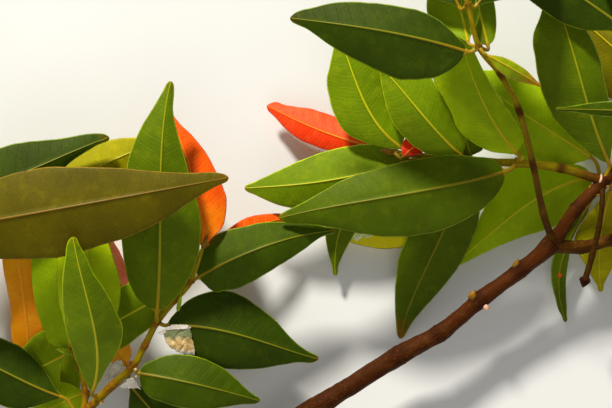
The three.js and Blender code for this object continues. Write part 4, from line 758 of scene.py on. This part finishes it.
def leaf(body, node, row, seed, slot, slots, stations=56):
    name, tone, stalk, blade, left, right, (bend0, bend1, bend2), arch, fold = row
    rng = np.random.default_rng(seed)
    base = node + step(stalk)
    chord = step(blade)
    length = np.linalg.norm(chord)
    t0 = chord / length
    side0 = unit(np.cross(UP, t0))
    up0 = np.cross(t0, side0)
    U = np.concatenate([np.linspace(0, 0.12, 13)[:-1], np.linspace(0.12, 0.9, stations - 20), 1 - 0.1 * (1 - np.linspace(0, 1, 17)[1:]) ** 1.8])
    hump, m = 4 * U * (1 - U), 2 * U - 1
    bend = bend0 + bend1 * m + bend2 * m * m
    M = base + np.outer(U, chord) + np.outer(hump * bend, side0) + np.outer(hump * arch, up0)
    slope = 4 * (1 - 2 * U)
    turn = slope * bend + hump * (2 * bend1 + 4 * bend2 * m)
    T = unit(chord + np.outer(turn, side0) + np.outer(slope * arch, up0))
    S = unit(np.cross(up0, T))
    N = np.cross(T, S)
    size = min(1.0, 0.55 + 0.45 * length / 80)
    rib = (RIB_WIDE[0] + (RIB_WIDE[1] - RIB_WIDE[0]) * U**0.75) * size
    high = (RIB_HIGH[0] + (RIB_HIGH[1] - RIB_HIGH[0]) * U**0.8) * size
    thick = BLADE_THICK[0] * (1 - 0.2 * U)
    f = math.radians(fold)
    # the blunt tip: the outline closes on a round end
    blunt = min(TIP_R, 0.13 * (max(left) + max(right)))
    end = (1 - U) * length
    cap = np.sqrt(np.clip(1 - (np.maximum(0, 1.3 * blunt - end) / (1.3 * blunt)) ** 2, 0, None))
    wave_f, wave_a = rng.uniform(1.2, 2.3, 2), rng.uniform(0.25, 0.7, 2) * min(1, length / 60)
    wave_p = rng.uniform(0, 2 * math.pi, 2)
    edge = lattice(rng, 24, 2)
    cols = []
    for sign, widths, which in ((1, left, 0), (-1, right, 1)):
        W = through(U, [0.0] + HALF_AT + [1.0], [STALK_R] + widths + [blunt])
        W = np.maximum(W, blunt * np.minimum(1, U * 12)) * cap
        W = np.maximum(W * (1 + 0.012 * ripple(edge, U * 22, np.full_like(U, which))), 0.12 * blunt * (U < 1) + 1e-3)
        rr = np.minimum(rib, 0.55 * W)
        rim = np.minimum(MARGIN, 0.25 * W)
        hs = [0 * W, 0.5 * rr, rr] + [rr + (W - rim - rr) * k for k in SPREAD] + [W]
        cols.append((sign, W, rr, hs, which))
    def surface(sign, W, rr, h, which, top):
        v = h / np.maximum(W, 1e-6)
        drop = (h * math.sin(f) + 0.1 * h * v) * np.minimum(1, U * 6)
        lift = wave_a[which] * v**2 * np.sin(2 * math.pi * wave_f[which] * U + wave_p[which]) * np.sqrt(np.clip(np.sin(math.pi * U), 0, 1))
        quilt = 0.07 * np.sin(2 * math.pi * (U * length - 0.42 * h - 0.018 * h * h) / (3.0 * VEIN_GAP)) * smooth(0, 0.25, v) * smooth(1, 0.8, v) * smooth(0.02, 0.1, U)
        flat = M + S * (sign * h * math.cos(f))[:, None] + N * (lift - drop)[:, None]
        tilt = np.tanh(h / 1.2) * math.sin(f)
        normal = unit(N + S * (sign * tilt)[:, None])
        t = (thick + (BLADE_THICK[1] - thick) * v) / 2 * np.clip(W / 1.0, 0.25, 1)
        crest = np.sqrt(np.clip(1 - (h / np.maximum(rr, 1e-6)) ** 2, 0, 1))
        if top:
            out = t + high * crest + quilt
        else:
            out = -t + 0.35 * high * crest * 0.5 + quilt
        return flat + normal * out[:, None]
    rows = len(U)
    top, under, lat = [], [], []
    for sign, W, rr, hs, which in (cols[0], cols[1]):
        side_top = [surface(sign, W, rr, h, which, True) for h in hs[:-1]]
        side_under = [surface(sign, W, rr, h, which, False) for h in hs[:-1]]
        flat_edge = 0.5 * (surface(sign, W, rr, hs[-1], which, True) + surface(sign, W, rr, hs[-1], which, False))
        top.append(side_top)
        under.append(side_under)
        lat.append((flat_edge, [sign * h for h in hs]))
    # ring order: left edge, over the face to the right edge, back underneath
    face = [lat[0][0]] + top[0][::-1] + top[1][1:] + [lat[1][0]]
    back = under[1][::-1] + under[0][1:]
    ring = np.stack(face + back, 1)
    spread = np.stack([lat[0][1][-1]] + lat[0][1][-2::-1] + lat[1][1][1:-1] + [lat[1][1][-1]] + lat[1][1][-2::-1] + lat[0][1][1:-1], 1)
    n_face = len(face)
    n = ring.shape[1]
    # stalk: a smooth short stem that turns into the midrib
    reach = max(np.linalg.norm(base - node), 1.2)
    k = np.linspace(0, 1, 12)[:-1, None]
    p1 = node + unit(step(stalk)) * reach * 0.35
    p2 = base - T[0] * reach * 0.35
    SP = (1 - k) ** 3 * node + 3 * (1 - k) ** 2 * k * p1 + 3 * (1 - k) * k**2 * p2 + k**3 * base
    ST = unit(3 * (1 - k) ** 2 * (p1 - node) + 6 * (1 - k) * k * (p2 - p1) + 3 * k**2 * (base - p2))
    SS = unit(np.cross(up0, ST))
    SN = np.cross(ST, SS)
    rad = STALK_R * size * (1 + 0.35 * np.exp(-((k[:, 0] * reach / 1.6) ** 2)))
    # angles of the ring's points as they close round a stalk
    round_ = np.concatenate([math.pi * np.arange(n_face) / (n_face - 1),
                           math.pi + math.pi * np.arange(1, n - n_face + 1) / (n - n_face + 1)])
    circle = lambda C, s, u_, r: C[:, None] + r[:, None, None] * (np.cos(round_)[None, :, None] * s[:, None] + np.sin(round_)[None, :, None] * u_[:, None])
    stem = circle(SP, SS, SN, rad)
    start = circle(M, S, N, np.full(rows, STALK_R * size))
    w = smooth(0.0, 0.030, U)[:, None, None]
    ring = start * (1 - w) + ring * w
    P = np.concatenate([stem, ring])
    total = len(P)
    mm = np.concatenate([k[:, 0] * reach - reach, U * length])
    share = np.concatenate([np.zeros(len(k)), U])
    cross = np.concatenate([np.broadcast_to(STALK_R * np.cos(round_), stem.shape[:2]), spread])
    attr = np.stack([np.broadcast_to(mm[:, None], cross.shape), cross, np.broadcast_to(share[:, None], cross.shape)], -1)
    mats = np.full((total - 1, n), 0)
    half = n_face - 1                      # face quads
    mats[:, :half] = TOP[tone]
    mats[:, half:] = UNDER[tone]
    # both margins take the rim paint, a painted glow of light through the thin edge
    mats[:, 0] = mats[:, half - 1] = RIM[tone]
    mats[:, half] = mats[:, n - 1] = RIM[tone]
    mid = half // 2
    mats[:, mid - 2:mid + 2] = RIB[tone]
    back_mid = half + (n - half) // 2
    mats[:, back_mid - 2:back_mid + 2] = RIB[tone]
    mats[: len(k) + 2] = STALK
    each = 1 / (2 * slots)
    first = body.points(P, attr)
    i, j = np.meshgrid(np.arange(total - 1), np.arange(n), indexing="ij")
    kk = (j + 1) % n
    faces = first + np.stack([i * n + j, i * n + kk, (i + 1) * n + kk, (i + 1) * n + j], -1)
    def spot(i, j, on_face):
        local = np.where(on_face, j / half, (j - half) / (n - half))
        col = np.where(on_face, 2 * slot, 2 * slot + 1)
        return np.stack([(col + 0.04 + 0.92 * local) * each, 0.004 + 0.992 * i / (total - 1)], -1)
    on = j < half
    uv = np.stack([spot(i, j, on), spot(i, j + 1, on), spot(i + 1, j + 1, on), spot(i + 1, j, on)], -2)
    body.quads(faces, uv, mats)
    for row_at, turn_round in ((0, True), (total - 1, False)):
        centre = body.points(P[row_at].mean(0)[None], attr[row_at].mean(0))
        a = first + row_at * n + np.arange(n)
        b = first + row_at * n + (np.arange(n) + 1) % n
        c = np.full(n, centre)
        ff = np.stack([b, a, c] if turn_round else [a, b, c], -1)
        place = spot(np.full((n, 3), row_at), np.stack([np.arange(n)] * 3, -1) + 0.0, np.stack([np.arange(n) < half] * 3, -1))
        body.tris(ff, place, STALK if turn_round else RIM[tone])
    return base, M, T, S, N


# ------------------------------------------------------------------ small things
def cell(slot, slots, k, count):
    """One box of the map: the k-th of count in an upright strip."""
    return (slot + 0.04) / slots, (k + 0.04) / count, 0.92 / slots, 0.92 / count


def closed_tube(body, P, attr, paint, box):
    """A tube closed at both ends, its faces turned outward, mapped into a box."""
    rows, cols = P.shape[:2]
    a, b, c = P[:-1], np.roll(P[:-1], -1, 1), P[1:]
    mid = P.reshape(-1, 3).mean(0)
    if np.sum(np.cross(b - a, c - a) * (a - mid)) < 0:
        P, attr = P[:, ::-1], attr[:, ::-1]
    u0, v0, du, dv = box
    spot = lambda i, j, face: np.stack([u0 + du * np.asarray(j) / cols, v0 + dv * np.asarray(i) / (rows - 1)], -1)
    body.tube(P, attr, paint, spot, cap_start=paint, cap_end=paint)


def dry_skin(body, outline, cloud, seed, box, paint, rise=0.5, crinkle=0.45, mark=0.0):
    """A scrap of dead leaf skin that lies crinkled on what is under it."""
    rng = np.random.default_rng(seed)
    out = np.array(outline, float)
    n = 64
    around = np.vstack([out, out[:1]])
    run = np.concatenate([[0], np.cumsum(np.linalg.norm(np.diff(around, axis=0), axis=1))])
    s = np.linspace(0, run[-1], n, endpoint=False)
    rim = np.stack([np.interp(s, run, around[:, k]) for k in (0, 1)], -1)
    rim += 0.16 * rng.standard_normal((n, 1)) * unit(rim - rim.mean(0))
    mid = rim.mean(0)
    shares = np.linspace(0.03, 1, 15)
    xy = mid + (rim - mid)[None] * shares[:, None, None]
    flat = xy.reshape(-1, 2)
    d = np.linalg.norm(cloud[None, :, :2] - flat[:, None], axis=-1)
    under = np.array([cloud[q < max(1.3, q.min() + 0.2), 2].max() for q in d]).reshape(xy.shape[:2])
    for _ in range(3):
        under = (under + np.roll(under, 1, 1) + np.roll(under, -1, 1)) / 3
    under[0] = under[0].mean()
    creases = lattice(rng, 24, 24)
    p, q = flat @ np.array([0.64, 0.77]), flat @ np.array([-0.77, 0.64])
    fold = ripple(creases, (p - p.min()) / 2.6 + 1, (q - q.min()) / 0.75).reshape(under.shape)
    sharp = 1 - 2 * np.abs(fold)
    z = under + rise + crinkle * (0.7 * fold + 0.5 * sharp) * smooth(0, 0.25, shares)[:, None] - rise * 0.6 * smooth(0.8, 1, shares)[:, None]
    top = np.concatenate([xy, (z + 0.07)[..., None]], -1)
    low = np.concatenate([xy, (z - 0.07)[..., None]], -1)[::-1]
    P = np.concatenate([top, low])
    high = mark * (P[..., 1:2] - rim[:, 1].min()) / np.ptp(rim[:, 1])
    closed_tube(body, P, np.concatenate([P[..., :2], high], -1), paint, box)


def spindle(body, base, tip, wide, paint, box, profile="bud", seed=0, segs=14, flat=1.0):
    """A bud, a bead or a collar: one smooth body of revolution with a little unevenness."""
    rng = np.random.default_rng(seed)
    base, tip = np.array(base, float), np.array(tip, float)
    t = unit(tip - base)
    side = unit(np.cross(np.array([0.3, 0.2, 1.0]), t))
    up = np.cross(t, side)
    shapes = {
        "bud": ([0, 0.06, 0.2, 0.4, 0.6, 0.8, 0.93, 1], [0.45, 0.75, 0.98, 1, 0.8, 0.46, 0.2, 0.05]),
        "bead": ([0, 0.04, 0.15, 0.32, 0.5, 0.68, 0.85, 0.96, 1], [0.1, 0.4, 0.72, 0.94, 1, 0.94, 0.72, 0.4, 0.1]),
        "collar": ([0, 0.03, 0.2, 0.5, 0.8, 0.97, 1], [0.3, 0.82, 0.98, 1.06, 0.98, 0.82, 0.3]),
    }
    at, r = shapes[profile]
    a = 2 * math.pi * np.arange(segs) / segs
    uneven = 1 + 0.07 * np.sin(3 * a + rng.uniform(0, 6)) + 0.04 * np.sin(5 * a + rng.uniform(0, 6))
    if profile == "bud":
        uneven = uneven + 0.10 * np.abs(np.cos(a + 0.4))
    P = np.array([base + (tip - base) * s + wide * w * uneven[:, None] * (np.cos(a)[:, None] * side + flat * np.sin(a)[:, None] * up)
                  for s, w in zip(at, r)])
    attr = np.stack([np.broadcast_to(np.array(at)[:, None], P.shape[:2]), np.broadcast_to(a[None], P.shape[:2]), np.full(P.shape[:2], 0.5)], -1)
    closed_tube(body, P, attr, paint, box)


def wire(body, points, r, paint, box):
    """A thin bent thread with round ends."""
    n = len(points) - 1
    P, T = along_curve(np.array(points, float), np.linspace(0, n, 12 * n + 1))
    side, up = carried(T)
    a = 2 * math.pi * np.arange(8) / 8
    thick = r * np.clip(np.sqrt(np.linspace(3.0, 0.05, len(P))), 0.2, 1)
    P = P[:, None] + thick[:, None, None] * (np.cos(a)[None, :, None] * side[:, None] + np.sin(a)[None, :, None] * up[:, None])
    attr = np.broadcast_to(np.linspace(0, 1, len(P))[:, None, None], P.shape)
    closed_tube(body, P, attr, paint, box)


def buds_on(body, limb, strips, size, paint):
    """Small pairs of buds at the nodes, and a longer one at the end."""
    n = limb["count"]
    spots = sorted({at for _, name, at, _ in SPRAYS if limbs[name] is limb and 0.1 < at < n - 0.4})
    total = 2 * len(spots) + 1
    done = 0
    for k in spots:
        P, T = along_curve(limb["points"], k)
        side = unit(np.cross(UP, T[0]))
        r = float(radius(limb, np.array([float(k)]))[0])
        for sign in (1, -1):
            way = unit(T[0] * 0.75 + side * sign * 0.6 + UP * 0.35)
            foot = P[0] + side * sign * r * 0.72 + UP * r * 0.5
            spindle(body, foot, foot + way * size * 2.0, size * 0.55, paint, cell(strips, strips + 1, done, 2 * total), seed=done)
            done += 1
    P, T = along_curve(limb["points"], n)
    r = limb["r1"]
    spindle(body, P[0] - T[0] * 0.6, P[0] + T[0] * (2.2 + 3.4 * r), r * 1.05, paint, cell(strips, strips + 1, done, 2 * total), seed=9)


# ------------------------------------------------------------------ assembly
GALL = (94.7, -26.6)     # a gall on the hanging leaf, in mm
# outlines, in mm, of scraps of dead skin that lie on the leaves of a mass
SKINS = {
    "left_top_leaves": [
        [[-51.7, -47.0], [-50.9, -45.5], [-47.3, -45.0], [-41.9, -44.8], [-41.4, -46.6], [-41.2, -48.7], [-40.5, -51.2],
         [-40.3, -53.1], [-40.5, -55.0], [-42.4, -55.0], [-44.4, -54.6], [-46.3, -53.8], [-49.2, -52.1], [-50.9, -49.7]],
        [[-50.9, -44.5], [-48.2, -43.7], [-42.9, -43.7], [-41.2, -44.7], [-42.6, -45.2], [-47.8, -45.5], [-50.8, -45.7]],
        [[-53.5, -46.4], [-52.0, -45.7], [-50.6, -45.2], [-50.2, -46.6], [-51.7, -47.2], [-53.1, -47.2]]],
    "left_low_leaves": [
        [[-71.1, -58.4], [-69.9, -57.6], [-68.1, -57.6], [-67.2, -59.3], [-67.8, -61.1], [-69.3, -63.2], [-70.8, -65.1],
         [-72.0, -64.8], [-72.8, -63.5], [-73.0, -62.0], [-72.3, -60.2]],
        [[-74.9, -64.0], [-73.8, -63.4], [-72.5, -63.7], [-72.9, -64.9], [-74.2, -65.2]],
        [[-69.1, -66.7], [-67.9, -65.7], [-65.0, -63.5], [-62.5, -63.2], [-61.5, -64.9], [-59.8, -67.4], [-63.0, -67.7], [-68.2, -67.6]]],
    "right_mid_leaves": [
        [[15.6, -10.2], [18.2, -9.4], [21.4, -9.9], [24.3, -9.6], [26.6, -10.6], [25.2, -11.5], [23.4, -12.9], [21.2, -12.6], [19.0, -13.9],
         [17.4, -13.0], [16.6, -12.2]]],
}

stem = limb_body("main", 11, BARK, 40, 0.75, 0.32, square=True, age=(1.0, 0.25), strips=6)
buds_on(stem, limbs["main"], 6, 0.9, BUD)
spindle(stem, (60.3, -35.0, 22.8), (62.2, -31.4, 24.0), 1.30, BUD, (0.9, 0.66, 0.06, 0.12), seed=3)
spindle(stem, (76.3, -23.6, 23.8), (77.9, -20.0, 25.0), 1.10, BUD, (0.9, 0.79, 0.06, 0.045), seed=4)
spindle(stem, (65.2, -36.6, 22.8), (67.0, -39.0, 23.6), 1.0, CALLUS, (0.9, 0.55, 0.06, 0.09), "bead", seed=6)
stem.make("long_stem", paints, "bark", "stem_foot", "stem_middle", "stem_top")
for i, (name, (paint, relief, age)) in enumerate(TWIGS.items()):
    twig = limb_body(name, 20 + i, paint, 26, 0.6, relief, age=age, strips=4)
    buds_on(twig, limbs[name], 4, 0.45 + 0.2 * limbs[name]["r0"], BUD)
    if name == "right_twig":     # a pale pink ring of callus by the fork; its pale colour also stands in for a highlight on the ring
        P, T = along_curve(limbs[name]["points"], 0.10)
        spindle(twig, P[0] - T[0] * 0.5, P[0] + T[0] * 0.5, float(radius(limbs[name], np.array([0.1]))[0]) + 0.55, CALLUS,
                (0.86, 0.80, 0.1, 0.12), "collar", segs=24)
        spindle(twig, (76.6, 16.3, 33.6), (79.2, 16.9, 34.3), 0.95, RIB["bright"], (0.86, 0.68, 0.1, 0.09), seed=5)
        wire(twig, [(82.0, 14.6, 33.0), (82.1, 17.2, 34.2), (81.6, 19.2, 35.1), (80.5, 19.4, 35.6)], 0.16, RIM["bright"],
             (0.86, 0.55, 0.1, 0.1))
    if name == "inner_twig":     # a half-open leaf bud with a yellow edge
        spindle(twig, (-86.5, -54.6, 24.0), (-91.0, -52.5, 25.2), 1.35, RIM["mid"], (0.86, 0.55, 0.1, 0.1), seed=6, flat=0.4)
        spindle(twig, (-86.5, -55.4, 24.2), (-91.5, -52.9, 25.4), 0.42, RIM["bright"], (0.86, 0.68, 0.1, 0.1), "bead", seed=7)
        wire(twig, [(-85.6, -52.7, 20.2), (-85.7, -53.6, 22.2), (-86.7, -54.8, 24.1)], 0.3, STALK, (0.86, 0.80, 0.1, 0.1))
    if name == "left_twig":      # a closed leaf bud, and beads of dried sap, whose near-white colour is partly the sap's own and partly a painted glint
        spindle(twig, (-46.2, -38.6, 35.2), (-44.7, -31.9, 39.0), 0.75, RIM["mid"], (0.86, 0.86, 0.1, 0.08), seed=8, flat=0.6)
        for k, at in enumerate(((-74.8, -72.7, 26.8), (-61.8, -60.0, 31.0), (-61.7, -62.7, 30.4))):
            at = np.array(at)
            spindle(twig, at - [0, 0, 0.55], at + [0, 0, 0.55], 0.5, SAP, (0.86, 0.55 + 0.1 * k, 0.1, 0.08), "bead", seed=k)
    twig.make(name + "_bark", paints, "twig_bark", name)

for s, (mass, limb, at, leaves) in enumerate(SPRAYS):
    node = along_curve(limbs[limb]["points"], at)[0][0]
    body = Body()
    scraps = SKINS.get(mass, [])
    slots = len(leaves) + (0.5 if scraps or mass == "low_leaves" else 0)
    for k, row in enumerate(leaves):
        leaf(body, node, row, 100 + 10 * s + k, k, slots)
    if scraps:
        cloud = np.concatenate(body.v)
        for k, outline in enumerate(scraps):
            dry_skin(body, outline, cloud, 7 + k, paint=GREEN_SKIN if mass == "right_mid_leaves" else SKIN, rise=2.2 if mass == "left_low_leaves" else 0.5,
                     mark=1.0 if mass == "left_top_leaves" and k == 0 else 0.0, box=((len(leaves) + 0.02) / slots, (k + 0.04) / len(scraps), 0.46 / slots, 0.92 / len(scraps)))
    if mass == "low_leaves":     # an orange gall
        cloud = np.concatenate(body.v)
        near = cloud[np.linalg.norm(cloud[:, :2] - GALL, axis=1) < 1.5]
        at = np.array([*GALL, near[:, 2].max() + 0.1])
        spindle(body, at - [0, 0.9, 0], at + [0, 0.9, 0], 0.75, gall_paint, (1 / slots + 0.02, 0.1, 0.4 / slots, 0.3), "bead", seed=3)
    young = leaves[0][1] in FLUSH
    body.make(mass + "_sprays", paints, "young_leaves" if young else "leaves", mass)

# dry fruit stalk, with what is left of the fruit's cup: a knob and pointed lobes
stalk = limb_body("fruit_stalk", 40, DRY, 20, 0.5, 0.08, tip=False, strips=2)
P, T = along_curve(limbs["fruit_stalk"]["points"], limbs["fruit_stalk"]["count"])
side = unit(np.cross(UP, T[0]))
up = np.cross(T[0], side)
spindle(stalk, P[0] - T[0] * 1.3, P[0] + T[0] * 2.9, 1.75, HUSK, (0.70, 0.02, 0.26, 0.1), seed=2, segs=24)
for k in range(5):
    a = 2 * math.pi * k / 5 + 0.5
    out = side * math.cos(a) + up * math.sin(a)
    foot = P[0] - T[0] * 0.5 + out * 1.1
    spindle(stalk, foot, foot + out * 1.05 + T[0] * 0.9, 0.62, HUSK, (0.70, 0.16 + 0.1 * k, 0.26, 0.08), seed=k)
stalk.make("dry_fruit_stalk", paints, "dry_stalk", "fruit_stalk")

# ------------------------------------------------------------------ floor, light, camera
fm = Paint("floor")
floor_mat = fm.finish(fm.blend(fm.band(fm.noise(fm.spot(), 6.0, 3.0), 0.3, 0.7), (0.78, 0.78, 0.77, 1), (0.80, 0.80, 0.79, 1)),
                      0.8, Specular_IOR_Level=0.2)
size = 4.0
me = bpy.data.meshes.new("floor")
me.from_pydata([(-size, -size, 0), (size, -size, 0), (size, size, 0), (-size, size, 0)], [], [(0, 1, 2, 3)])
me.materials.append(floor_mat)
floor = bpy.data.objects.new("floor", me)
bpy.context.scene.collection.objects.link(floor)
floor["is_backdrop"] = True

KEY_FROM = (112.0, 36.0)      # compass heading and height of the main light
def lamp(name, heading, rise, away, across, power, tint=(1, 1, 1)):
    data = bpy.data.lights.new(name, "AREA")
    data.shape, data.size, data.energy, data.color = "DISK", across, power, tint
    ob = bpy.data.objects.new(name, data)
    h, r = math.radians(heading), math.radians(rise)
    way = np.array([math.cos(r) * math.cos(h), math.cos(r) * math.sin(h), math.sin(r)])
    ob.location = way * away
    ob.rotation_euler = Vector(way).to_track_quat("Z", "Y").to_euler()
    bpy.context.scene.collection.objects.link(ob)
    return ob

lamp("key", *KEY_FROM, 2.2, 0.30, 66.0, (1.0, 0.97, 0.88))
lamp("fill", KEY_FROM[0] + 160, 62.0, 2.4, 1.8, 8.0, (1.0, 0.98, 0.94))
world = bpy.data.worlds.new("studio")
world.use_nodes = True
world.node_tree.nodes["Background"].inputs["Color"].default_value = (1.0, 0.985, 0.95, 1)
world.node_tree.nodes["Background"].inputs["Strength"].default_value = 0.30
bpy.context.scene.world = world
bpy.context.scene.view_settings.view_transform = "Standard"

camera = bpy.data.cameras.new("camera")
camera.sensor_width = 36.0
camera.lens = 112.5
camera.clip_start, camera.clip_end = 0.01, 20
eye = bpy.data.objects.new("camera", camera)
eye.location = (SHIFT[0] * 0.001, SHIFT[1] * 0.001, 0.725)
eye.rotation_euler = (0, 0, 0)
bpy.context.scene.collection.objects.link(eye)
bpy.context.scene.camera = eye

bpy.context.view_layer.update()
numbers = lambda box: [[float(x) for x in corner] for corner in box]
{"cad": numbers(cad_box), "visual": numbers(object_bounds())}
